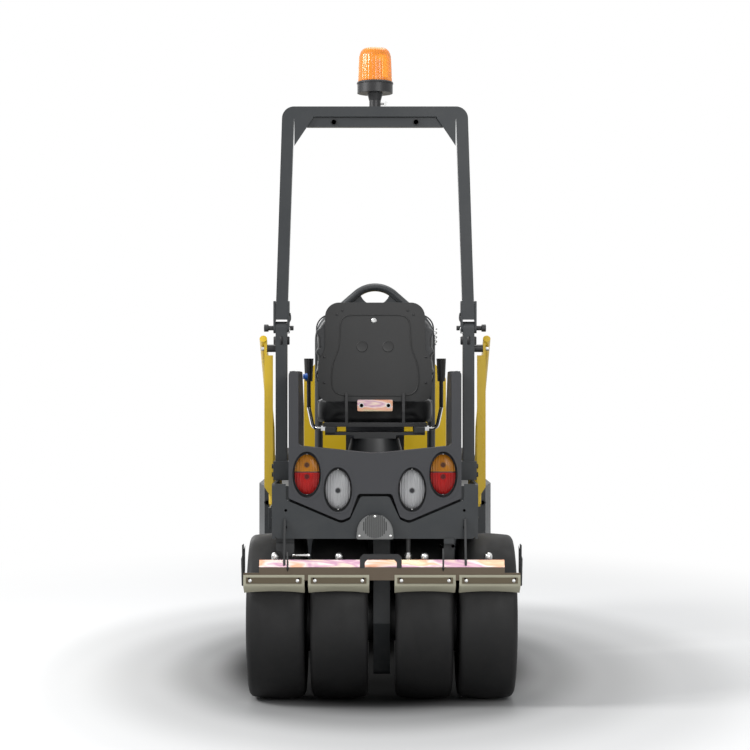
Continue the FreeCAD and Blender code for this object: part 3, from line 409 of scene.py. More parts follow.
scraper_plastic = moulded("scraper_plastic", (0.35, 0.335, 0.25, 1), 0.55, 0.08, scale=400.0)
hose_rubber = moulded("hose_rubber", (0.012, 0.012, 0.012, 1), 0.5, 0.1, scale=600.0, bump=0.1)
engine_iron = painted("engine_iron", (0.06, 0.062, 0.065, 1), 0.5, 0.7, 0.25, peel=300.0, bump=0.4)
rolled_steel = bare_metal("rolled_steel", (0.33, 0.325, 0.315, 1), 0.3, 0.5, (2, 24, 24), 9.0, 0.04, 0.2)
bright_steel = bare_metal("bright_steel", (0.68, 0.68, 0.67, 1), 0.18, 0.34, dust=0.02)
chrome = bare_metal("chrome", (0.85, 0.85, 0.86, 1), 0.05, 0.10, dust=0.0)
brown_zinc = bare_metal("brown_zinc", (0.12, 0.10, 0.07, 1), 0.36, 0.52, (3, 30, 30), 12.0, 0.05, 0.1)
dull_zinc = bare_metal("dull_zinc", (0.125, 0.10, 0.075, 1), 0.38, 0.5, (3, 20, 20), 12.0, 0.05, 0.1)
print("materials", len(bpy.data.materials))


# %% Rainbow zinc, rubber, glass and leathercloth
def make_rainbow_zinc():
    """Yellow-passivated zinc: a metal whose thin film drifts from straw to rose and green."""
    material, tree, shader = new_material("rainbow_zinc", Metallic=1.0)
    film = stretched_noise(tree, (1, 2.5, 5), Scale=5.0, Detail=3.0, Distortion=0.6)
    tint = add_node(tree, "ShaderNodeValToRGB")
    set_stops(tint.color_ramp, (
        (0.34, (0.60, 0.50, 0.34, 1)), (0.43, (0.72, 0.36, 0.24, 1)), (0.50, (0.76, 0.62, 0.58, 1)),
        (0.57, (0.50, 0.28, 0.40, 1)), (0.66, (0.74, 0.60, 0.50, 1))))
    link(tree, film, tint.inputs["Fac"])
    link(tree, tint.outputs["Color"], shader.inputs["Base Color"])
    gloss_from(tree, shader, film, 0.26, 0.44, 0.3, 0.7)
    return material


def make_rubber():
    """Tyre rubber: matt black, with a faint unevenness in its gloss and a little dust."""
    material, tree, shader = new_material("tyre_rubber")
    shader.inputs["Specular IOR Level"].default_value = 0.35
    patches = stretched_noise(tree, (9, 5, 5), Scale=1.0, Detail=2.0)
    grain = use_group(tree, GRAIN, Scale=700.0, Amount=0.6)
    dust_on(tree, shader, (0.0045, 0.0045, 0.0048, 1), 0.05)
    gloss_from(tree, shader, patches, 0.52, 0.7, 0.35, 0.65)
    bump_from(tree, shader, grain.outputs["Height"], 0.05, 0.0008)
    return material


def coloured_glass(name, colour, rough, transmission, glow=0.0):
    """Lamp glass: clear coloured plastic, with a slight unevenness from the mould."""
    material, tree, shader = new_material(
        name, Base_Color=colour, Transmission_Weight=transmission, IOR=1.49)
    wave = stretched_noise(tree, (1, 1, 1), Scale=40.0, Detail=2.0)
    gloss_from(tree, shader, wave, rough, rough + 0.06)
    # A glow adds emission in the glass's own colour: a painted glow, not a lit bulb.
    if glow:
        shader.inputs["Emission Color"].default_value = colour
        shader.inputs["Emission Strength"].default_value = glow
    return material


def fluted_glass(name, bright, dark, x, z, radius):
    """Lamp glass with upright ribs and a darker bulb socket showing through."""
    material, tree, shader = new_material(name, IOR=1.45, Coat_Weight=0.2, Coat_Roughness=0.05)
    lamp = use_group(tree, LAMP, Centre_X=x, Centre_Z=z, Radius=radius, Ribs=1100.0)
    tint = add_node(tree, "ShaderNodeMix", data_type="RGBA")
    tint.inputs[6].default_value = dark
    tint.inputs[7].default_value = bright
    wire(tree, (lamp, "Mask", tint, 0), (tint, 2, shader, "Base Color"))
    gloss_from(tree, shader, lamp.outputs["Mask"], 0.5, 0.16)
    bump_from(tree, shader, lamp.outputs["Height"], 1.0, 0.004)
    return material


def make_leathercloth():
    """Seat vinyl: a pebbled skin, slightly glossy on its high spots."""
    material, tree, shader = new_material("leathercloth", Sheen_Weight=0.1)
    where = add_node(tree, "ShaderNodeTexCoord")
    pebble = add_node(tree, "ShaderNodeTexVoronoi", feature="F1", Scale=420.0)
    folds = add_node(tree, "ShaderNodeTexNoise", Scale=9.0, Detail=5.0)
    tint = add_node(tree, "ShaderNodeMix", data_type="RGBA")
    tint.inputs[6].default_value = (0.014, 0.015, 0.016, 1)
    tint.inputs[7].default_value = (0.026, 0.027, 0.029, 1)
    wire(tree, (where, "Object", pebble, "Vector"), (where, "Object", folds, "Vector"),
         (folds, "Fac", tint, 0), (tint, 2, shader, "Base Color"))
    gloss_from(tree, shader, folds.outputs["Fac"], 0.34, 0.55)
    bump_from(tree, shader, pebble.outputs["Distance"], 0.3, 0.0008)
    return material


rainbow_zinc = make_rainbow_zinc()
tyre_rubber = make_rubber()
# The amber glass and the amber reflector emit a little: a painted glow on the unlit beacon.
amber_glass = coloured_glass("amber_glass", (0.93, 0.32, 0.02, 1), 0.12, 0.5, 0.05)
amber_painted_glow = coloured_glass("amber_painted_glow", (0.85, 0.45, 0.10, 1), 0.3, 0.0, 0.1)
amber_lens = fluted_glass("amber_lens", (0.68, 0.25, 0.02, 1), (0.10, 0.03, 0.006, 1), 0.250, 0.897, 0.009)
red_lens = fluted_glass("red_lens", (0.66, 0.022, 0.02, 1), (0.14, 0.006, 0.006, 1), 0.250, 0.854, 0.009)
clear_lens = fluted_glass("clear_lens", (0.66, 0.66, 0.67, 1), (0.04, 0.04, 0.045, 1), 0.136, 0.803, 0.009)
headlamp_glass = coloured_glass("headlamp_glass", (0.75, 0.76, 0.76, 1), 0.08, 0.7)
leathercloth = make_leathercloth()
# The commonest finishes, each as a material slot with its material
DARK = ("paint_grey", dark_paint)
BRIGHT = ("bare_steel", bright_steel)
BLACK = ("black_plastic", black_plastic)
print("materials", len(bpy.data.materials))


# %% [markdown]
# ## Skins for the CAD pieces
# The CAD meshes are exact but bare: flat triangles and knife edges. Real steel and plastic have
# a small radius that catches the light. So each rigid piece gets a skin: a copy of its mesh,
# merged into clean faces, with a narrow bevel on its sharp edges and smooth shading elsewhere.

# %% Round the edges of the rigid pieces
SHARP = math.radians(32)
ROUND = math.radians(50)
BEVEL_FROM = math.radians(25)


def apply_modifiers(obj):
    """Turn the evaluated object into a plain mesh, with no modifier left."""
    graph = bpy.context.evaluated_depsgraph_get()
    mesh = bpy.data.meshes.new_from_object(obj.evaluated_get(graph))
    mesh.name = obj.name
    old = obj.data
    obj.modifiers.clear()
    obj.data = mesh
    if old.users == 0:
        bpy.data.meshes.remove(old)


def smooth_by_angle(mesh, angle=SHARP):
    """Smooth shading, with the sharp edges marked."""
    work = bmesh.new()
    work.from_mesh(mesh)
    for face in work.faces:
        face.smooth = True
    for edge in work.edges:
        edge.smooth = len(edge.link_faces) == 2 and edge.calc_face_angle(0.0) < angle
    work.to_mesh(mesh)
    work.free()


def from_bmesh(work, name, angle=SHARP):
    """A new smoothed mesh from finished bmesh work."""
    mesh = bpy.data.meshes.new(name)
    work.to_mesh(mesh)
    work.free()
    smooth_by_angle(mesh, angle)
    return mesh


def even_normals(obj):
    """Let the large faces rule the shading, so that flat plates look flat up to their edges."""
    even = obj.modifiers.new("even", "WEIGHTED_NORMAL")
    even.keep_sharp = True
    apply_modifiers(obj)


def skin(node, material, bevel=1.2):
    """A cleaned copy of a CAD node with rounded edges; it stands for the node."""
    mesh = nodes[node].data.copy()
    obj = bpy.data.objects.new(node + "_skin", mesh)
    scene.collection.objects.link(obj)
    work = bmesh.new()
    work.from_mesh(mesh)
    bmesh.ops.remove_doubles(work, verts=work.verts, dist=0.00001)
    bmesh.ops.dissolve_limit(work, angle_limit=math.radians(0.6), verts=work.verts, edges=work.edges)
    work.to_mesh(mesh)
    work.free()
    mesh.materials.clear()
    mesh.materials.append(material)
    if bevel:
        rounding = obj.modifiers.new("edge", "BEVEL")
        rounding.width = bevel * MM
        rounding.segments = 2
        rounding.limit_method = "ANGLE"
        rounding.angle_limit = SHARP
        rounding.use_clamp_overlap = True
        rounding.harden_normals = False
        apply_modifiers(obj)
    smooth_by_angle(obj.data)
    if bevel:
        even_normals(obj)
    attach(obj, body_of_node[node])
    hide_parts(node)
    return obj


SKINS = (
    # node, material, bevel in millimetres
    ("rear_chassis", grey_paint, 1.5), ("centre_girder", grey_paint, 1.5),
    ("steering_pin", bright_steel, 1.0), ("platform", grey_paint, 1.2),
    ("wheel_motors", dark_paint, 1.5), ("water_cap", blue_plastic, 2.0),
    ("guard_posts_lower", grey_paint, 1.5), ("guard_pins", dark_paint, 1.5),
    ("seat_base", dark_paint, 1.5), ("console", tank_plastic, 6.0),
    ("lifting_hoop", grey_paint, 0), ("handrails", yellow_paint, 1.2),
    ("rail_buffers", black_plastic, 1.5), ("travel_levers", chrome, 0),
    ("guard_hoop", grey_paint, 2.0), ("beacon_base", black_plastic, 2.0),
    ("rims_left", grey_paint, 0), ("rims_right", grey_paint, 0),
    ("hub_left", dark_paint, 0), ("hub_right", dark_paint, 0),
    ("steering_wheel", black_plastic, 0), ("knuckle", grey_paint, 1.5),
    ("steering_barrel", dark_paint, 1.0), ("steering_rod", chrome, 0),
    ("front_frame", grey_paint, 1.5), ("engine_block", engine_iron, 6.0),
    ("hood_hinges", dark_paint, 1.0), ("hood", yellow_paint, 1.5),
    ("water_tank", tank_plastic, 3.0), ("seat_frame", seat_plate_paint, 1.5),
    ("drum", rolled_steel, 0),
)
skins = {}
for node, material, bevel in SKINS:
    skins[node] = skin(node, material, bevel)
for side in ("left", "right"):
    for place in ("inner", "outer"):
        name = "tyre_" + side + "_" + place
        skins[name] = skin(name, tyre_rubber, 0)
print("skins", len(skins), "faces", sum(len(o.data.polygons) for o in skins.values()))

# %% [markdown]
# ## Screws and bolts
# Dozens of fasteners hold the plates. They are all alike, so one Geometry Nodes tree makes them:
# it takes a cloud of points, each with the direction its screw looks in, and puts a head on a
# washer there. The sizes are inputs of the tree, so one tree serves hexagon bolts and round
# screws alike.


# %% A Geometry Nodes tree that sets a head on every point
def make_bolt_tree():
    """Heads on washers at points, each turned to the point's own direction."""
    tree = bpy.data.node_groups.new("bolts_on_points", "GeometryNodeTree")
    face = tree.interface
    face.new_socket("Geometry", in_out="INPUT", socket_type="NodeSocketGeometry")
    wanted = (("Head sides", "NodeSocketInt", 6), ("Head radius", "NodeSocketFloat", 0.008),
              ("Head height", "NodeSocketFloat", 0.006), ("Washer radius", "NodeSocketFloat", 0.012),
              ("Washer height", "NodeSocketFloat", 0.002), ("Dome", "NodeSocketFloat", 0.0))
    for label, kind, value in wanted:
        face.new_socket(label, in_out="INPUT", socket_type=kind).default_value = value
    face.new_socket("Metal", in_out="INPUT", socket_type="NodeSocketMaterial")
    face.new_socket("Geometry", in_out="OUTPUT", socket_type="NodeSocketGeometry")
    source = tree.nodes.new("NodeGroupInput")
    sink = tree.nodes.new("NodeGroupOutput")
    half = add_node(tree, "ShaderNodeMath", operation="MULTIPLY")
    half.inputs[1].default_value = 0.5
    lift = add_node(tree, "ShaderNodeMath", operation="ADD")
    head_z = add_node(tree, "ShaderNodeMath", operation="MULTIPLY_ADD")
    head_z.inputs[1].default_value = 0.5
    washer_at = tree.nodes.new("ShaderNodeCombineXYZ")
    head_at = tree.nodes.new("ShaderNodeCombineXYZ")
    dome_at = tree.nodes.new("ShaderNodeCombineXYZ")
    washer = add_node(tree, "GeometryNodeMeshCylinder", Vertices=20)
    head = tree.nodes.new("GeometryNodeMeshCylinder")
    dome = add_node(tree, "GeometryNodeMeshUVSphere", Segments=16, Rings=8)
    squash = tree.nodes.new("GeometryNodeTransform")
    flat = tree.nodes.new("ShaderNodeCombineXYZ")
    flat.inputs[0].default_value = 1
    flat.inputs[1].default_value = 1
    move_washer = tree.nodes.new("GeometryNodeTransform")
    move_head = tree.nodes.new("GeometryNodeTransform")
    join = tree.nodes.new("GeometryNodeJoinGeometry")
    place = tree.nodes.new("GeometryNodeInstanceOnPoints")
    aim = tree.nodes.new("GeometryNodeInputNamedAttribute")
    aim.data_type = "FLOAT_VECTOR"
    aim.inputs["Name"].default_value = "aim"
    turn = add_node(tree, "FunctionNodeAlignRotationToVector", axis="Z")
    real = tree.nodes.new("GeometryNodeRealizeInstances")
    paint = tree.nodes.new("GeometryNodeSetMaterial")
    wire(tree, (source, "Washer height", half, 0), (half, 0, washer_at, 2),
         (source, "Head height", head_z, 0), (source, "Washer height", head_z, 2),
         (head_z, 0, head_at, 2), (source, "Head height", lift, 0), (source, "Washer height", lift, 1),
         (lift, 0, dome_at, 2), (source, "Washer radius", washer, "Radius"),
         (source, "Washer height", washer, "Depth"), (source, "Head sides", head, "Vertices"),
         (source, "Head radius", head, "Radius"), (source, "Head height", head, "Depth"),
         (source, "Head radius", dome, "Radius"), (source, "Dome", flat, 2),
         (dome, 0, squash, "Geometry"), (flat, 0, squash, "Scale"), (dome_at, 0, squash, "Translation"),
         (washer, "Mesh", move_washer, "Geometry"), (washer_at, 0, move_washer, "Translation"),
         (head, "Mesh", move_head, "Geometry"), (head_at, 0, move_head, "Translation"))
    for part in (move_washer, move_head, squash):
        link(tree, part.outputs[0], join.inputs[0])
    wire(tree, (source, "Geometry", place, "Points"), (join, 0, place, "Instance"),
         (aim, "Attribute", turn, "Vector"), (turn, 0, place, "Rotation"), (place, 0, real, 0),
         (real, 0, paint, "Geometry"), (source, "Metal", paint, "Material"), (paint, 0, sink, 0))
    return tree


BOLTS = make_bolt_tree()


def set_inputs(modifier, values):
    """Set a Geometry Nodes modifier's inputs by their names, through their identifiers."""
    for item in modifier.node_group.interface.items_tree:
        if item.item_type == "SOCKET" and item.in_out == "INPUT" and item.name in values:
            modifier[item.identifier] = values[item.name]


def bolts(name, places, body, slot, metal, radius, height, washer=0.0, sides=6, dome=0.0):
    """Fasteners at (place, direction) pairs, in millimetres, as one plain mesh."""
    mesh = bpy.data.meshes.new(name)
    mesh.from_pydata([Vector(p) * MM for p, _ in places], [], [])
    aim = mesh.attributes.new("aim", "FLOAT_VECTOR", "POINT")
    for i, (_, direction) in enumerate(places):
        aim.data[i].vector = direction
    obj = bpy.data.objects.new(name, mesh)
    scene.collection.objects.link(obj)
    modifier = obj.modifiers.new("bolts", "NODES")
    modifier.node_group = BOLTS
    set_inputs(modifier, {
        "Head sides": sides, "Head radius": radius * MM, "Head height": height * MM,
        "Washer radius": max(washer, radius * 0.5) * MM, "Washer height": 2 * MM if washer else 0.2 * MM,
        "Dome": dome, "Metal": metal})
    apply_modifiers(obj)
    smooth_by_angle(obj.data)
    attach(obj, body)
    return obj


# %% Places of the fasteners
BACK = (0, -1, 0)
UP = (0, 0, 1)
GROUP_X = 25.0
AXLE = (-870.0, 313.5)
DRUM_AXLE = (830.0, 360.0)
BLADE_CENTRES = [GROUP_X + s * x for s in (-1, 1) for x in (157.0, 392.0)]


def pair(x, y, z, direction):
    """A fastener and its mirror image on the other side of the machine."""
    dx, dy, dz = direction
    return [((x, y, z), (dx, dy, dz)), ((-x, y, z), (-dx, dy, dz))]


def on_ring(x, centre, radius, count, direction):
    """Fasteners evenly round an axle, on the face at x that looks along direction."""
    places = []
    for i in range(count):
        turn = 2 * math.pi * (i + 0.5) / count
        y = centre[0] + radius * math.cos(turn)
        z = centre[1] + radius * math.sin(turn)
        places.append(((x, y, z), direction))
    return places


def grid(xs, y, zs, direction):
    """Fasteners at every crossing of a few columns and rows."""
    return [((x, y, z), direction) for x in xs for z in zs]


clamp_screws = [((c + s * 86, -1226, 481), BACK) for c in BLADE_CENTRES for s in (-1, 1)]
lamp_screws = []
for x, z in ((250, 862), (136, 807)):
    for s in (-1, 1):
        lamp_screws += pair(x, -1124, z + s * 74, BACK)
alarm_screws = [((x, -1182, z), BACK) for x, z in ((0, 711), (-57, 640), (57, 640))]
socket_bolts = pair(388, -830, 848, (1, 0, 0)) + pair(388, -830, 880, (1, 0, 0))
shaft_bolts = on_ring(534, DRUM_AXLE, 88, 8, (1, 0, 0)) + on_ring(-534, DRUM_AXLE, 88, 8, (-1, 0, 0))
deck_bolts = []
for y in (-560, -310, -60):
    deck_bolts += pair(345, y, 650, UP)
side_bolts = []
for y in (-1020, -700, -640):
    side_bolts += pair(378, y, 690, (1, 0, 0))
wall_bolts = [((x, 190, z), BACK) for x in (-470, -330, 330, 470) for z in (300, 680)]
BEARING_R = 92.0
BEARING_Z = 430.0
bearing_bolts = []
for i in range(8):
    turn = math.pi * (i + 0.5) / 4
    x = BEARING_R * math.cos(turn)
    bearing_bolts.append(((x, 190, BEARING_Z + BEARING_R * math.sin(turn)), BACK))
beam_bolts = [((x, 1250, z), (0, 1, 0)) for x in (-450, -300, 300, 450) for z in (650, 710)]
console_screws = grid((-105, 105), -155, (680, 1040), (0, 1, 0))

FASTENERS = (
    # name, places, body, slot, material, radius, height, washer, sides, dome
    ("clamp_screws", clamp_screws, "rear_frame", *BRIGHT, 6.5, 1.5, 0, 16, 0.45),
    ("lamp_screws", lamp_screws, "rear_frame", *BRIGHT, 2.6, 1.2, 0, 12, 0.4),
    ("alarm_screws", alarm_screws, "rear_frame", *BRIGHT, 5.0, 1.0, 0, 12, 0.5),
    ("channel_bolts", pair(157, -845, 2196, BACK), "guard_upper", *DARK, 9, 6, 13, 6, 0.0),
    ("socket_bolts", socket_bolts, "rear_frame", *DARK, 9, 7, 0, 6, 0.0),
    ("drum_shaft_bolts", shaft_bolts, "front_frame", *BRIGHT, 11, 8, 17, 6, 0.0),
    ("platform_bolts", deck_bolts, "rear_frame", *BRIGHT, 8, 2, 0, 16, 0.4),
    ("side_plate_bolts", side_bolts, "rear_frame", *DARK, 9, 6, 14, 6, 0.0),
    ("front_wall_bolts", wall_bolts, "front_frame", *DARK, 9, 6, 14, 6, 0.0),
    ("bearing_bolts", bearing_bolts, "front_frame", *BRIGHT, 9, 8, 14, 6, 0.0),
    ("beam_bolts", beam_bolts, "front_frame", *DARK, 9, 2, 0, 16, 0.5),
    ("console_screws", console_screws, "rear_frame", *BLACK, 5, 1, 0, 16, 0.4),
)
fasteners = 0
for row in FASTENERS:
    bolts(*row)
    fasteners += len(row[1])
for side, s in (("left", -1), ("right", 1)):
    face = GROUP_X + s * 290.5
    nuts = on_ring(face, AXLE, 105, 8, (s, 0, 0))
    bolts("wheel_nuts_" + side, nuts, "wheels_" + side, *BRIGHT, 12, 13, 18)
    cap = on_ring(GROUP_X + s * 300, AXLE, 65, 6, (s, 0, 0))
    bolts("hub_bolts_" + side, cap, "wheels_" + side, *BRIGHT, 5, 4)
    fasteners += len(nuts) + len(cap)
print("fasteners", fasteners)

# %% [markdown]
# ## Second finishes on one piece
# Some pieces carry two finishes: the tail lamp's glass is amber above and red below, the levers
# end in plastic grips, and the handrails' buffers end in bright steel. Where no edge lies at the
# change, the mesh is cut along a plane, and each face then gets the finish of its side.


# %% Cut a piece and give faces a second finish
def cut_along(obj, point, normal):
    """Add edges where a plane crosses the mesh; the shape stays as it is."""
    work = bmesh.new()
    work.from_mesh(obj.data)
    everything = work.verts[:] + work.edges[:] + work.faces[:]
    bmesh.ops.bisect_plane(work, geom=everything, plane_co=Vector(point) * MM, plane_no=normal)
    work.to_mesh(obj.data)
    work.free()


def finish_where(obj, material, test):
    """Give a material to each face whose centre, in millimetres, passes the test."""
    obj.data.materials.append(material)
    index = len(obj.data.materials) - 1
    for face in obj.data.polygons:
        x, y, z = (value / MM for value in face.center)
        if test(x, y, z):
            face.material_index = index


GRIP_Z = 1105
GRIP_X = 240
SEAT_PAN_TOP = 1127
SLEEVE_X = 425
finish_where(skins["travel_levers"], black_plastic, lambda x, y, z: z > GRIP_Z and abs(x) > GRIP_X)
finish_where(skins["seat_frame"], black_plastic, lambda x, y, z: z < SEAT_PAN_TOP)
finish_where(skins["rail_buffers"], bright_steel, lambda x, y, z: abs(x) > SLEEVE_X)
print("levers and buffers")

# %% [markdown]
# ## Corrected outlines
# Two outlines differ a little from the CAD solids: the front frame's side plates are slimmer
# where they pass behind the drum, and the alarm's cover is a half round. The frame's skin is
# drawn in here, and the cover is made new below. The drum's shafts get a little play, so that the
# flat facets of shaft and bore don't cut each other as the drum turns.

# %% Draw the side plates in
DRUM_SIDE = 505.0
PLATE_SIDE = 508.0
SLIM = 16.0 / 26.0
SHAFT_R = 45.0
SHAFT_PLAY = 0.98
TAPER_START = 460.0
TAPER = 0.075
plates = skins["front_frame"]
for y in (1000.0, TAPER_START):
    cut_along(plates, (0, y, 0), (0, 1, 0))
for vert in plates.data.vertices:
    x, y, z = (value / MM for value in vert.co)
    if abs(x) > PLATE_SIDE - 1 and y < 1001:
        x = math.copysign(DRUM_SIDE + (abs(x) - PLATE_SIDE) * SLIM, x)
    if y < TAPER_START:
        x *= 1 - TAPER * min(1.0, (TAPER_START - y) / 250)
    vert.co.x = x * MM
    if abs(x) < 430 and math.hypot(y - DRUM_AXLE[0], z - DRUM_AXLE[1]) < SHAFT_R + 1:
        vert.co.y = (DRUM_AXLE[0] + (y - DRUM_AXLE[0]) * SHAFT_PLAY) * MM
        vert.co.z = (DRUM_AXLE[1] + (z - DRUM_AXLE[1]) * SHAFT_PLAY) * MM
smooth_by_angle(plates.data)
even_normals(plates)
print("side plates drawn in")

# %% [markdown]
# ## Turned and bent pieces
# A lathe makes the beacon, headlamps, nozzles and caps: a short profile of radius and height is
# spun round an axis. Ribs are a small wave on the radius. Bent rods and piping are curves with a
# round section, turned to plain meshes. Plates are drawn from an outline, and bars are lofted.


# %% Helpers that make a piece
def add_piece(name, mesh, body, materials, replaces=()):
    """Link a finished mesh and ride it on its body."""
    obj = bpy.data.objects.new(name, mesh)
    scene.collection.objects.link(obj)
    for material in materials:
        mesh.materials.append(material)
    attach(obj, body)
    if replaces:
        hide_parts(*replaces)
    return obj


def lathe(name, profile, place, direction, body, slot, material, segments=48, ribs=0, rib=0.0,
          replaces=()):
    """Spin (radius, height) points about an axis from a place; ribs wave the radius."""
    turn = Vector(direction).to_track_quat("Z", "Y").to_matrix()
    origin = Vector(place)
    work = bmesh.new()
    rows = []
    for radius, height in profile:
        if radius < 0.01:
            rows.append([work.verts.new((turn @ Vector((0, 0, height)) + origin) * MM)])
            continue
        row = []
        for i in range(segments):
            angle = 2 * math.pi * i / segments
            r = radius + rib * math.cos(ribs * angle) if ribs else radius
            spot = turn @ Vector((r * math.cos(angle), r * math.sin(angle), height)) + origin
            row.append(work.verts.new(spot * MM))
        rows.append(row)
    for low, high in zip(rows, rows[1:]):
        for i in range(segments):
            j = (i + 1) % segments
            if len(low) == 1 and len(high) == 1:
                continue
            if len(low) == 1:
                work.faces.new((low[0], high[j], high[i]))
            elif len(high) == 1:
                work.faces.new((low[i], low[j], high[0]))
            else:
                work.faces.new((low[i], low[j], high[j], high[i]))
    for row, flip in ((rows[0], True), (rows[-1], False)):
        if len(row) > 1:
            work.faces.new(row[::-1] if flip else row)
    bmesh.ops.recalc_face_normals(work, faces=work.faces)
    mesh = from_bmesh(work, name, ROUND)
    return add_piece(name, mesh, body, [material], replaces)


def tube(name, paths, radius, body, slot, material, cyclic=False, order=3, sides=6):
    """Round bars along smooth curves through the control points of each path."""
    curve = bpy.data.curves.new(name, "CURVE")
    curve.dimensions = "3D"
    curve.bevel_depth = radius * MM
    curve.bevel_resolution = sides // 2
    curve.resolution_u = 8
    curve.use_fill_caps = True
    for path in paths:
        spline = curve.splines.new("NURBS")
        spline.points.add(len(path) - 1)
        for point, spot in zip(spline.points, path):
            point.co = (*(Vector(spot) * MM), 1)
        spline.use_cyclic_u = cyclic
        spline.order_u = order
        spline.use_endpoint_u = not cyclic
    holder = bpy.data.objects.new(name + "_curve", curve)
    scene.collection.objects.link(holder)
    mesh = bpy.data.meshes.new_from_object(
        holder.evaluated_get(bpy.context.evaluated_depsgraph_get()))
    mesh.name = name
    bpy.data.objects.remove(holder)
    bpy.data.curves.remove(curve)
    smooth_by_angle(mesh, ROUND)
    mesh.materials.clear()
    return add_piece(name, mesh, body, [material])


def slab(name, outline, depth, place, body, slot, material, bevel=1.0):
    """A flat plate: an outline of (x, z) points that is drawn forward by its depth."""
    work = bmesh.new()
    x0, y0, z0 = place
    front = [work.verts.new(Vector((x0 + x, y0, z0 + z)) * MM) for x, z in outline]
    face = work.faces.new(front)
    moved = bmesh.ops.extrude_face_region(work, geom=[face])["geom"]
    verts = [item for item in moved if isinstance(item, bmesh.types.BMVert)]
    bmesh.ops.translate(work, verts=verts, vec=(0, depth * MM, 0))
    bmesh.ops.recalc_face_normals(work, faces=work.faces)
    if bevel:
        bmesh.ops.bevel(work, geom=work.edges[:], offset=bevel * MM, segments=2, affect="EDGES")
    return add_piece(name, from_bmesh(work, name), body, [material])


def loft(name, solids, body, slot, material, bevel=0.0, replaces=(), closed=False):
    """Solids from rows of points, each row a closed loop: the ends are capped or meet each other."""
    work = bmesh.new()
    for rows in solids:
        loops = [[work.verts.new(Vector(spot) * MM) for spot in row] for row in rows]
        count = len(loops[0])
        for low, high in zip(loops, loops[1:] + (loops[:1] if closed else [])):
            for i in range(count):
                j = (i + 1) % count
                work.faces.new((low[i], low[j], high[j], high[i]))
        if not closed:
            work.faces.new(loops[0][::-1])
            work.faces.new(loops[-1])
    bmesh.ops.recalc_face_normals(work, faces=work.faces)
    if bevel:
        sharp = [e for e in work.edges if e.calc_face_angle(0.0) > BEVEL_FROM]
        bmesh.ops.bevel(work, geom=sharp, offset=bevel * MM, segments=2, affect="EDGES",
                        clamp_overlap=True)
    return add_piece(name, from_bmesh(work, name), body, [material], replaces)


def bar(profile, x0, x1):
    """The two rows of a straight bar: one (y, z) profile drawn from x0 to x1."""
    return [[(x, y, z) for y, z in profile] for x in (x0, x1)]


def block(x0, x1, y0, y1, z0, z1):
    """The two rows of a rectangular bar."""
    return bar([(y0, z0), (y1, z0), (y1, z1), (y0, z1)], x0, x1)


def rounded(half_x, half_z, radius, steps=6):
    """The (x, z) outline of a rounded rectangle about its own middle."""
    points = []
    for cx, cz, start in ((1, 1, 0), (-1, 1, 90), (-1, -1, 180), (1, -1, 270)):
        for i in range(steps + 1):
            angle = math.radians(start + 90 * i / steps)
            points.append((cx * (half_x - radius) + radius * math.cos(angle),
                           cz * (half_z - radius) + radius * math.sin(angle)))
    return points


print("helpers ready")

# %% [markdown]
# ## The scraper behind the tyres
# A bent rail carries four plastic blades that rest close to the tyres, each under a clamp strip.
# Its upper flange leans back and is coloured as bright rainbow zinc, and the part below the bend as
# dark dull zinc. The film is the plating's own, and the brighter flange is partly a painted highlight
# where it faces up, the darker face partly painted shade. A black handle pulls it. Round nozzles on
# a pipe behind it wet the tyres.

# %% Rail, strip, arms and handle
RAIL_BEND = 529.0
RAIL_BENT = [(-1216, 481), (-1216, 529.5), (-1192, 554), (-1188, 551), (-1212, 528), (-1212, 481)]
rail = loft("scraper_bent_rail", [bar(RAIL_BENT, GROUP_X - 446, GROUP_X + 446)], "rear_frame", "zinc",
            rainbow_zinc, 0.6, replaces=("scraper_rail",))
# Painted highlight and shade in part: above the bend the rail is bright rainbow zinc, below it dark dull
# zinc.
finish_where(rail, dull_zinc, lambda x, y, z: z < RAIL_BEND)
loft("scraper_strip", [block(GROUP_X - 508, GROUP_X + 508, -1212, -1208, 497, 508)], "rear_frame",
     "zinc", dull_zinc, 0.5)
ends = [block(GROUP_X + s * 506 - 2, GROUP_X + s * 506 + 2, -1216, -1166, 460, 610) for s in (-1, 1)]
ARM = [(-1212, 500), (-1204, 500), (-1196, 552), (-1156, 660), (-1150, 700), (-1162, 700), (-1212, 548)]
arms = [bar(ARM, s * 330 - 4, s * 330 + 4) for s in (-1, 1)]
loft("scraper_arms", ends + arms, "rear_frame", *DARK, 1.0)
handle = [(-46, -1220, 526), (-46, -1220, 556), (-34, -1220, 568), (76, -1220, 568),
          (88, -1220, 556), (88, -1220, 526)]
handle_rows = []
for x, y, z in handle:
    out = 9 if x > 20 else -9
    tilt = 9 if z > 530 else 0
    handle_rows.append([(x - out, y - 4, z - tilt), (x + out, y - 4, z + tilt),
                        (x + out, y + 4, z + tilt), (x - out, y + 4, z - tilt)])
loft("scraper_handle", [handle_rows], "rear_frame", *BLACK, 1.5)

# %% Blades, clamps, pipe and nozzles
BLADE = [(-1222, 501, 0), (-1222, 462, 0), (-1217, 454, 0.3), (-1172, 431, 1), (-1169, 437, 1),
         (-1213, 459, 0.3), (-1216, 464, 0), (-1216, 501, 0)]
BLADE_HALF = 111.0
ARC_RISE = 6.0
blades = []
clamps = []
for centre in BLADE_CENTRES:
    rows = []
    for i in range(17):
        x = BLADE_HALF * (i / 8 - 1)
        rise = ARC_RISE * (1 - (x / BLADE_HALF) ** 2)
        rows.append([(centre + x, y, z + share * rise) for y, z, share in BLADE])
    blades.append(rows)
    clamps.append(block(centre - 101, centre + 101, -1226, -1222, 470, 492))
loft("scraper_blade_set", blades, "rear_frame", "scraper_plastic", scraper_plastic, 0.6,
     replaces=("scraper_blades",))
loft("scraper_clamps", clamps, "rear_frame", "zinc", brown_zinc, 0.8)
PIPE_Y = -1130.0
PIPE_Z = 538.0
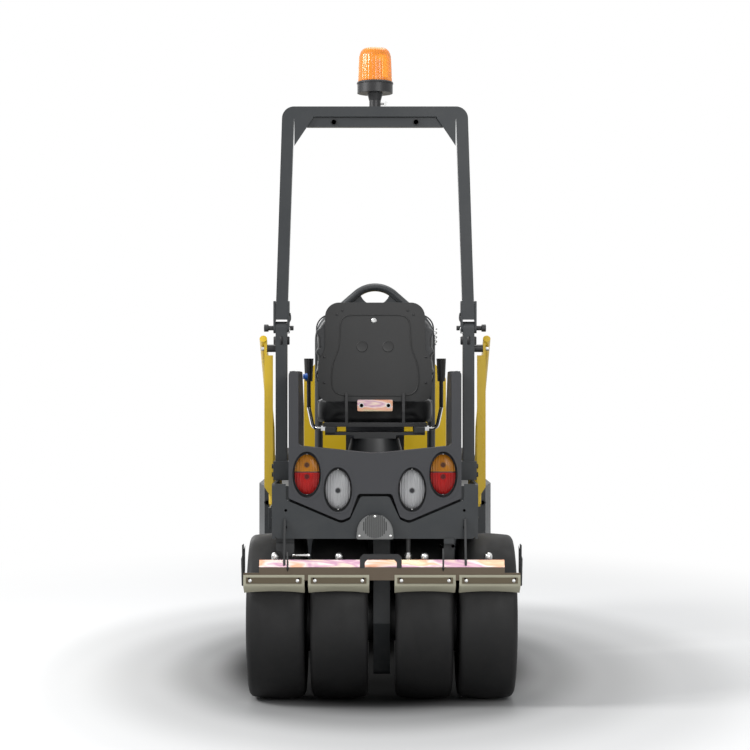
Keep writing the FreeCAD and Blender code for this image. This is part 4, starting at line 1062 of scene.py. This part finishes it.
lathe("spray_pipe", [(0, 0), (10, 0), (10, 844), (0, 844)], (GROUP_X - 422, PIPE_Y, PIPE_Z), (1, 0, 0),
      "rear_frame", "bare_steel", dark_paint, segments=24)
nozzle = [(0, 0), (9, 0), (9, 10), (14, 12), (15, 24), (13, 31), (8, 36), (0, 38)]
for number, centre in enumerate(BLADE_CENTRES):
    lathe("spray_nozzle_" + str(number), nozzle, (centre, PIPE_Y, PIPE_Z), UP, "rear_frame",
          *BRIGHT, segments=32)
loft("spray_brackets", [block(-363, -297, -1133, -1127, 532, 641), block(253, 291, -1133, -1127, 532, 641)],
     "rear_frame", *DARK, 1.0)
hose = [(122, PIPE_Y, z) for z in (542, 580, 610, 642)]
tube("spray_hose", [hose], 8.5, "rear_frame", "black_plastic", hose_rubber)
lathe("hose_fitting", [(0, 0), (12, 0), (12, 8), (15, 9), (15, 22), (10, 24), (10, 30), (0, 30)],
      (122, PIPE_Y, 545), UP, "rear_frame", *BRIGHT, segments=6)
print("scraper", len(rail.data.polygons))

# %% [markdown]
# ## Rear lamps
# Each lamp is a domed oval glass in a round-ended recess. A thin bezel narrows the recess to an
# oval. The tail lamps are amber above and red below, with a dark seam between.

# %% Oval glasses and their bezels
DOME = ((1.0, -1112), (1.0, -1127), (0.94, -1132), (0.8, -1136), (0.55, -1139), (0.25, -1140.5))
OVAL_STEPS = 64


def oval_loop(x, z, half_x, half_z, y, power=2.0):
    """A loop of points on an oval; a higher power fills its corners."""
    points = []
    for i in range(OVAL_STEPS):
        turn = 2 * math.pi * i / OVAL_STEPS
        c, s = math.cos(turn), math.sin(turn)
        points.append((x + math.copysign(abs(c) ** (2 / power), c) * half_x, y,
                       z + math.copysign(abs(s) ** (2 / power), s) * half_z))
    return points


def lamp_pair(name, node, x, z, half_x, half_z, material):
    """Two domed glasses, each on a dark rim, with their bezels."""
    glasses = []
    rims = []
    bezels = []
    for s in (-1, 1):
        rows = []
        for share, y in DOME:
            rows.append(oval_loop(s * x, z, half_x * share, half_z * share, y))
        glasses.append(rows)
        rims.append([oval_loop(s * x, z, half_x + 4, half_z + 4, -1111),
                     oval_loop(s * x, z, half_x + 4, half_z + 4, -1124)])
        outer = (half_x + 9, half_z + 16)
        inner = (half_x + 5, half_z + 11)
        bezels.append([oval_loop(s * x, z, *outer, -1149, 2.9), oval_loop(s * x, z, *outer, -1151, 2.9),
                       oval_loop(s * x, z, *inner, -1151), oval_loop(s * x, z, *inner, -1149)])
    glass = loft(name, glasses, "rear_frame", "clear_plastic" if node == "work_lamps" else "lamp_plastic",
                 material, replaces=(node,))
    loft(name + "_rims", rims, "rear_frame", *BLACK, 1.0)
    loft(name + "_bezels", bezels, "rear_frame", "tank_plastic", tank_plastic, closed=True)
    return glass


TAIL_SPLIT = 869.0
tail = lamp_pair("tail_glass", "tail_lamps", 250, 862, 47.5, 73.5, red_lens)
for z in (TAIL_SPLIT, TAIL_SPLIT + 4):
    cut_along(tail, (0, 0, z), (0, 0, 1))
finish_where(tail, amber_lens, lambda x, y, z: z > TAIL_SPLIT + 4)
finish_where(tail, black_plastic, lambda x, y, z: TAIL_SPLIT < z < TAIL_SPLIT + 4)
smooth_by_angle(tail.data)
lamp_pair("work_glass", "work_lamps", 136, 807, 47.5, 71.0, clear_lens)
print("lamps")

# %% [markdown]
# ## Front end
# Two lamps stand on the deck, the hood breathes through louvres and a grille, and a scraper
# plate cleans the drum under the front beam.

# %% Headlamps, louvres, grille and drum scraper
for side, s in (("left", -1), ("right", 1)):
    lathe("headlamp_" + side,
          [(0, 0), (28, 0), (52, 18), (62, 46), (62, 70), (57, 72), (55, 66), (0, 62)],
          (s * 430, 1126, 826), (0, 1, 0), "front_frame", *BLACK)
    lathe("headlamp_glass_" + side, [(0, 0), (55, 0), (54, 4), (34, 9), (0, 11)],
          (s * 430, 1189, 826), (0, 1, 0), "front_frame", "clear_plastic", headlamp_glass)
    lathe("headlamp_foot_" + side, [(0, 0), (24, 0), (24, 5), (11, 8), (11, 24), (0, 24)],
          (s * 430, 1160, 752), UP, "front_frame", *DARK, segments=32)
louvres = []
for i in range(9):
    y = 620 + 34 * i
    for s in (-1, 1):
        inner, outer = sorted((s * 309.0, s * 311.0))
        louvres.append(block(inner, outer, y - 6, y + 6, 900, 1090))
loft("hood_louvres", louvres, "hood", *BLACK, 0.5)
bars = [block(-170, 170, 1163.5, 1166.5, 835 + 19 * i - 5, 835 + 19 * i + 5) for i in range(8)]
loft("hood_grille", bars, "hood", *BLACK, 0.5)
SCRAPER = [(1200, 655), (1152, 655), (1112, 605), (1116, 602), (1154, 649), (1200, 649)]
loft("drum_scraper", [bar(SCRAPER, -490, 490)], "front_frame", *DARK, 0.8)
print("front end")

# %% [markdown]
# ## The beacon
# The amber dome is the highest piece of the machine. Its wall is ribbed so that the light
# spreads, it narrows a little upwards, and its top edge is well rounded. Behind the amber wall
# sits a pale reflector. Dome and reflector both emit a little light, a painted glow that stands
# in for the light they catch, and a screw with wings holds the stem.

# %% Beacon dome, reflector and wing screw
BEACON_Y = -830.0
dome_profile = [(64.5, 2349)]
dome_profile += [(64.5 - 3.5 * i / 5, 2352 + 17 * i) for i in range(6)]
dome_profile += [(60.5 - 26 * (1 - math.cos(math.radians(a))), 2440 + 40 * math.sin(math.radians(a)))
                 for a in (15, 30, 45, 60, 75)]
dome_profile += [(24, 2481.5), (0, 2482)]
# The dome and the reflector below carry a painted glow.
lathe("beacon_dome", dome_profile, (0, BEACON_Y, 0), UP, "guard_upper", "amber_plastic", amber_glass,
      segments=144, ribs=36, rib=0.8, replaces=("beacon_lens",))
lathe("beacon_reflector", [(0, 2350), (40, 2351), (40, 2362), (17, 2372), (17, 2430), (0, 2437)],
      (0, BEACON_Y, 0), UP, "guard_upper", "amber_plastic", amber_painted_glow)
lathe("beacon_collar", [(67.5, 2341), (69.5, 2343), (69.5, 2349), (66, 2352), (60, 2352)],
      (0, BEACON_Y, 0), UP, "guard_upper", *BLACK, ribs=24, rib=0.5,
      segments=96)
wing = [(-11, 0), (11, 0), (15, 12), (9, 18), (3, 8), (-3, 8), (-9, 18), (-15, 12)]
slab("beacon_wing_screw", wing, 4, (33, BEACON_Y - 2, 2262), "guard_upper", *BRIGHT, 1.0)
lathe("beacon_screw_stem", [(0, 0), (4, 0), (4, 14), (0, 14)], (21, BEACON_Y, 2268), (1, 0, 0),
      "guard_upper", *BRIGHT, segments=16)
print("beacon")

# %% [markdown]
# ## The alarm's cover
# The reversing alarm sits under a half-round cover with upright slots. The slots are cut with a
# Boolean from one row of bars, each as tall as the round field allows. They go only part way into
# the cover, and their walls and floors are painted black: painted shade inside the slots.

# %% Half-round cover with slots
ALARM_Z = 652.0
SLOT_Z = 675.0
SLOT_FIELD = 44.0
COVER_R = 66.0
cover = [(COVER_R * math.cos(math.radians(a)), COVER_R * math.sin(math.radians(a)))
         for a in range(0, 181, 9)]
cover += [(-68, -14), (-68, -22), (-64, -25), (64, -25), (68, -22), (68, -14)]
alarm = slab("alarm_half_round", cover, 32, (0, -1182, ALARM_Z), "rear_frame", "light_plastic",
             light_plastic, 2.5)
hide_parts("alarm_cover")
work = bmesh.new()
for i in range(12):
    x = (i - 5.5) * 7.4
    tall = math.sqrt(SLOT_FIELD ** 2 - x ** 2)
    made = bmesh.ops.create_cube(work, size=1.0)
    bmesh.ops.scale(work, verts=made["verts"], vec=Vector((3.4, 24, 2 * tall)) * MM)
    bmesh.ops.translate(work, verts=made["verts"], vec=Vector((x, -1182, SLOT_Z)) * MM)
bar_mesh = bpy.data.meshes.new("slot_bars")
work.to_mesh(bar_mesh)
work.free()
bars = bpy.data.objects.new("slot_bars", bar_mesh)
scene.collection.objects.link(bars)
cutting = alarm.modifiers.new("slots", "BOOLEAN")
cutting.object = bars
cutting.operation = "DIFFERENCE"
apply_modifiers(alarm)
bpy.data.objects.remove(bars)
smooth_by_angle(alarm.data)
# Painted shade: the faces inside the slot field, the slot walls and floors, get black plastic.
finish_where(alarm, black_plastic, lambda x, y, z: -1179 < y < -1152 and abs(x) < 45 and
             x ** 2 + (z - SLOT_Z) ** 2 < (SLOT_FIELD + 1) ** 2)
print("alarm faces", len(alarm.data.polygons))

# %% [markdown]
# ## Fold joint of the guard
# Each post is hinged just above the seat. A pin crosses the two ears, a spring ring keeps it in,
# and a plastic collar and a clip lever sit below the ears.

# %% Rings, clips and collars
rings = []
for s in (-1, 1):
    rings.append([(s * 334 + 9 * math.cos(a), -845 + 3 * math.sin(a), 1403 + 13 * math.sin(a))
                  for a in (0, 0.9, 1.8, 2.7, 3.6, 4.5, 5.4)])
tube("guard_pin_rings", rings, 1.6, "guard_upper", *BRIGHT, cyclic=True)
clips = []
for s in (-1, 1):
    clips.append([(s * 326, -846, 1466), (s * 322, -850, 1450), (s * 326, -852, 1432),
                  (s * 338, -850, 1424)])
tube("guard_clip_levers", clips, 3.2, "guard_upper", "bare_steel", dark_paint)
for side, s in (("left", -1), ("right", 1)):
    collar = [(28, 0), (31, 2), (31, 30), (28, 32)]
    lathe("post_collar_" + side, [(r, z + 1345) for r, z in collar], (s * 358, -830, 0), UP,
          "rear_frame", *BLACK, segments=4)
print("guard joint")

# %% [markdown]
# ## Seat foam
# Both pads are inflated: a slightly smaller copy of the plain CAD pad becomes a cloth balloon
# with no gravity, and air pressure rounds it until its sides pull in between the corners. Where
# a sewn channel crosses the pad, the thread holds the skin down, and where the pad rests on its
# steel, it stays flat.


# %% Inflate the two pads
PAD_VOXEL = 6.0
PAD_FRAMES = 20
CHANNEL_REACH = 16.0
CHANNEL_CAP = 0.15
REST_LIFT = 0.0004
PADS = (
    # node, shrink, cap, resting axis, channel axis, channel places, all in millimetres
    ("seat_cushion", 7.0, 11.0, 2, 1, (-560, -480, -400)),
    ("seat_backrest", 7.0, 11.0, 1, 2, (1240, 1320, 1400)),
)


def inflate(obj):
    """Run a short cloth simulation with air pressure and apply its result."""
    cloth = obj.modifiers.new("air", "CLOTH")
    cloth.settings.use_pressure = True
    cloth.settings.uniform_pressure_force = 4.0
    cloth.settings.quality = 4
    cloth.settings.effector_weights.gravity = 0.0
    cloth.point_cache.frame_start = 1
    cloth.point_cache.frame_end = PAD_FRAMES
    for number in range(1, PAD_FRAMES + 1):
        scene.frame_set(number)
    apply_modifiers(obj)
    scene.frame_set(1)


def make_pad(node, shrink, cap, rest_axis, channel_axis, channels):
    """One crowned pad from its CAD block."""
    mesh = nodes[node].data.copy()
    obj = bpy.data.objects.new(node + "_foam", mesh)
    scene.collection.objects.link(obj)
    work = bmesh.new()
    work.from_mesh(mesh)
    bmesh.ops.remove_doubles(work, verts=work.verts, dist=0.00001)
    work.to_mesh(mesh)
    work.free()
    low = [min(v.co[i] for v in mesh.vertices) for i in range(3)]
    high = [max(v.co[i] for v in mesh.vertices) for i in range(3)]
    middle = [(a + b) / 2 for a, b in zip(low, high)]
    ratio = [1 - 2 * shrink * MM / (b - a) for a, b in zip(low, high)]
    for vert in mesh.vertices:
        vert.co = [m + (c - m) * r for m, c, r in zip(middle, vert.co, ratio)]
    remesh = obj.modifiers.new("even", "REMESH")
    remesh.mode = "VOXEL"
    remesh.voxel_size = PAD_VOXEL * MM
    apply_modifiers(obj)
    before = [v.co.copy() for v in obj.data.vertices]
    inflate(obj)
    for vert, start in zip(obj.data.vertices, before):
        move = vert.co - start
        near = min(abs(start[channel_axis] / MM - place) for place in channels)
        held = min(1.0, near / CHANNEL_REACH)
        limit = cap * MM * (CHANNEL_CAP + (1 - CHANNEL_CAP) * held * held)
        if move.length > limit:
            move *= limit / move.length
        spot = start + move
        spot[rest_axis] = max(spot[rest_axis], low[rest_axis] + REST_LIFT)
        vert.co = spot
    rest = [v for v in obj.data.vertices if v.co[rest_axis] < low[rest_axis] + shrink * 1.3 * MM]
    for vert in rest:
        vert.co[rest_axis] = low[rest_axis] + REST_LIFT
    smooth = obj.modifiers.new("finer", "SUBSURF")
    smooth.levels = 1
    smooth.render_levels = 1
    apply_modifiers(obj)
    obj.data.materials.clear()
    obj.data.materials.append(leathercloth)
    for face in obj.data.polygons:
        face.use_smooth = True
    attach(obj, body_of_node[node])
    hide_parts(node)
    return obj


foam = [make_pad(*row) for row in PADS]
print("foam faces", [len(o.data.polygons) for o in foam])

# %% [markdown]
# ## The seat's steel back
# A pressed steel plate closes the seat behind. Its stiffening groove follows the outline, two
# round dimples and a plug sit above the middle, and a zinc-plated link joins it to the pan.

# %% Groove, dimples, plug and link plate
PLATE_Y = -766.0
LEFT_GROOVE = [(-70, 1462), (-112, 1460), (-134, 1440), (-136, 1380), (-140, 1330), (-160, 1285),
               (-168, 1240), (-168, 1190), (-156, 1162), (-125, 1150), (-60, 1150)]
groove = [(x, PLATE_Y - 0.2, z) for x, z in LEFT_GROOVE]
groove += [(-x, PLATE_Y - 0.2, z) for x, z in reversed(LEFT_GROOVE)]
tube("seat_back_groove", [groove], 2.6, "rear_frame", "paint_grey", seat_plate_paint, cyclic=True)
DIMPLE = [(22, 0), (20, 2.0), (16, 1.2), (10.5, 0.5), (0, 0.4)]
for name, x in (("left", -50), ("right", 50)):
    lathe("seat_dimple_" + name, DIMPLE, (x, PLATE_Y, 1340), BACK, "rear_frame", "paint_grey",
          seat_plate_paint)
lathe("seat_plug", [(10, 0), (10, 1.5), (6.5, 3.5), (6, 2.2), (0, 2.0)], (-4, PLATE_Y, 1440), BACK,
      "rear_frame", *BRIGHT, segments=32)
plate_screws = grid((-196, 196), PLATE_Y, (1200, 1300), BACK)
plate_screws += pair(148, PLATE_Y, 1464, BACK) + pair(127, PLATE_Y, 1480, BACK)
bolts("seat_plate_screws", plate_screws, "rear_frame", *BLACK, 5.0, 0.8,
      sides=16, dome=0.35)
slab("seat_link_plate", rounded(68, 22, 4), 6, (0, PLATE_Y - 6, 1112), "rear_frame", "bare_steel",
     rainbow_zinc, 0.8)
bolts("seat_link_screws", grid((-52, 52), PLATE_Y - 6, (1112,), BACK), "rear_frame", *BRIGHT, 7, 4, 10)
SPRING_TOP = (236, -733, 1410)
spring = []
for i in range(15):
    turn = 1.7 * i
    spring.append((SPRING_TOP[0] + 5 * math.cos(turn), SPRING_TOP[1] + 5 * math.sin(turn),
                   SPRING_TOP[2] - 4.5 * i))
tube("seat_side_spring", [spring], 2.4, "rear_frame", *BRIGHT)
piping = []
for x, z in rounded(229, 146, 55):
    piping.append((x, -672, 1320 + z))
tube("backrest_piping", [piping], 3.0, "rear_frame", "seat_vinyl", leathercloth, cyclic=True)
lathe("filler_cap", [(0, 0), (9, 0), (9, 6), (12, 7), (12, 17), (9, 19), (0, 19)], (-281, -690, 1224),
      (1, 0, 0), "rear_frame", "blue_plastic", blue_plastic, ribs=12, rib=0.5)
print("seat back")

# %% [markdown]
# ## Scraper hardware
# Behind the tyres hang the scraper's small parts: a hook bracket with its pin on the left, two
# dark rods, a small block with bright bolts, and a flap at each end of the rail. Thin black discs
# on the clamp strips and four on the rear plate are painted shade, standing for the dark of notches
# and holes.

# %% Hook, rods, block, painted shade of holes, and flaps
FOCAL_PIXELS = 1915.5
MIDDLE_PIXEL = 375.0
HORIZON_PIXEL = 388.0


def at_picture(px, py, y):
    """The point in millimetres that a pixel of the photograph shows, at a depth y."""
    scale = (y - CAMERA_Y / MM) / FOCAL_PIXELS
    return ((px - MIDDLE_PIXEL) * scale, y, CAMERA_Z / MM + (HORIZON_PIXEL - py) * scale)


x, y, z = at_picture(285, 549, -1150)
slab("hook_bracket", [(-34, 20), (34, 20), (34, -8), (22, -26), (-8, -26), (-14, -12), (-34, -4)],
     5, (x, y, z), "rear_frame", *DARK, 1.0)
x, y, z = at_picture(293, 555.5, -1156)
lathe("hook_pin", [(0, 0), (7, 0.5), (8, 3), (8, 9), (6, 10), (6, 62), (4, 64), (0, 64)],
      (x + 62, y, z), (-1, 0, 0), "rear_frame", *BRIGHT, segments=24)
for name, px, top, low in (("left", 287.6, 552, 572), ("right", 443.3, 548, 572)):
    a = at_picture(px, top, -1221)
    b = at_picture(px, low, -1221)
    length = a[2] - b[2]
    rod_shape = [(0, 0), (5, 16), (3.4, 17), (3.4, length - 3), (0, length)]
    lathe("stop_rod_" + name, rod_shape, b, UP, "rear_frame", "bare_steel", dark_paint, segments=20)
x, y, z = at_picture(449, 541, -1152)
slab("stop_block", rounded(19, 10, 3), 14, (x, y - 8, z), "rear_frame", "paint_grey", grey_paint, 1)
bolts("stop_bolts", [(at_picture(px, 546, -1150), BACK) for px in (441, 453)], "rear_frame",
      *BRIGHT, 6, 10)
# Painted shade: thin black discs stand for the dark of the clamp notches and of four holes in the rear
# plate.
notch_shade_discs = [((c + s * 90, -1226, 488), BACK) for c in BLADE_CENTRES for s in (-1, 1)]
bolts("clamp_notch_shade", notch_shade_discs, "rear_frame", *BLACK, 4, 0.3, sides=12)
hole_shade_discs = pair(327, -1150, 669, BACK) + pair(327, -1150, 731, BACK)
bolts("rear_plate_hole_shade", hole_shade_discs, "rear_frame", *BLACK, 5, 0.3, sides=16)
FLAP = [(0, 96), (0, 0), (-13, -53), (-15, 46)]
slab("end_flap_left", FLAP, 4, (-473, -1192, 511), "rear_frame", *DARK, 0.8)
slab("end_flap_right", [(-x, z) for x, z in reversed(FLAP)], 4, (523, -1192, 511), "rear_frame",
     *DARK, 0.8)
print("scraper hardware")
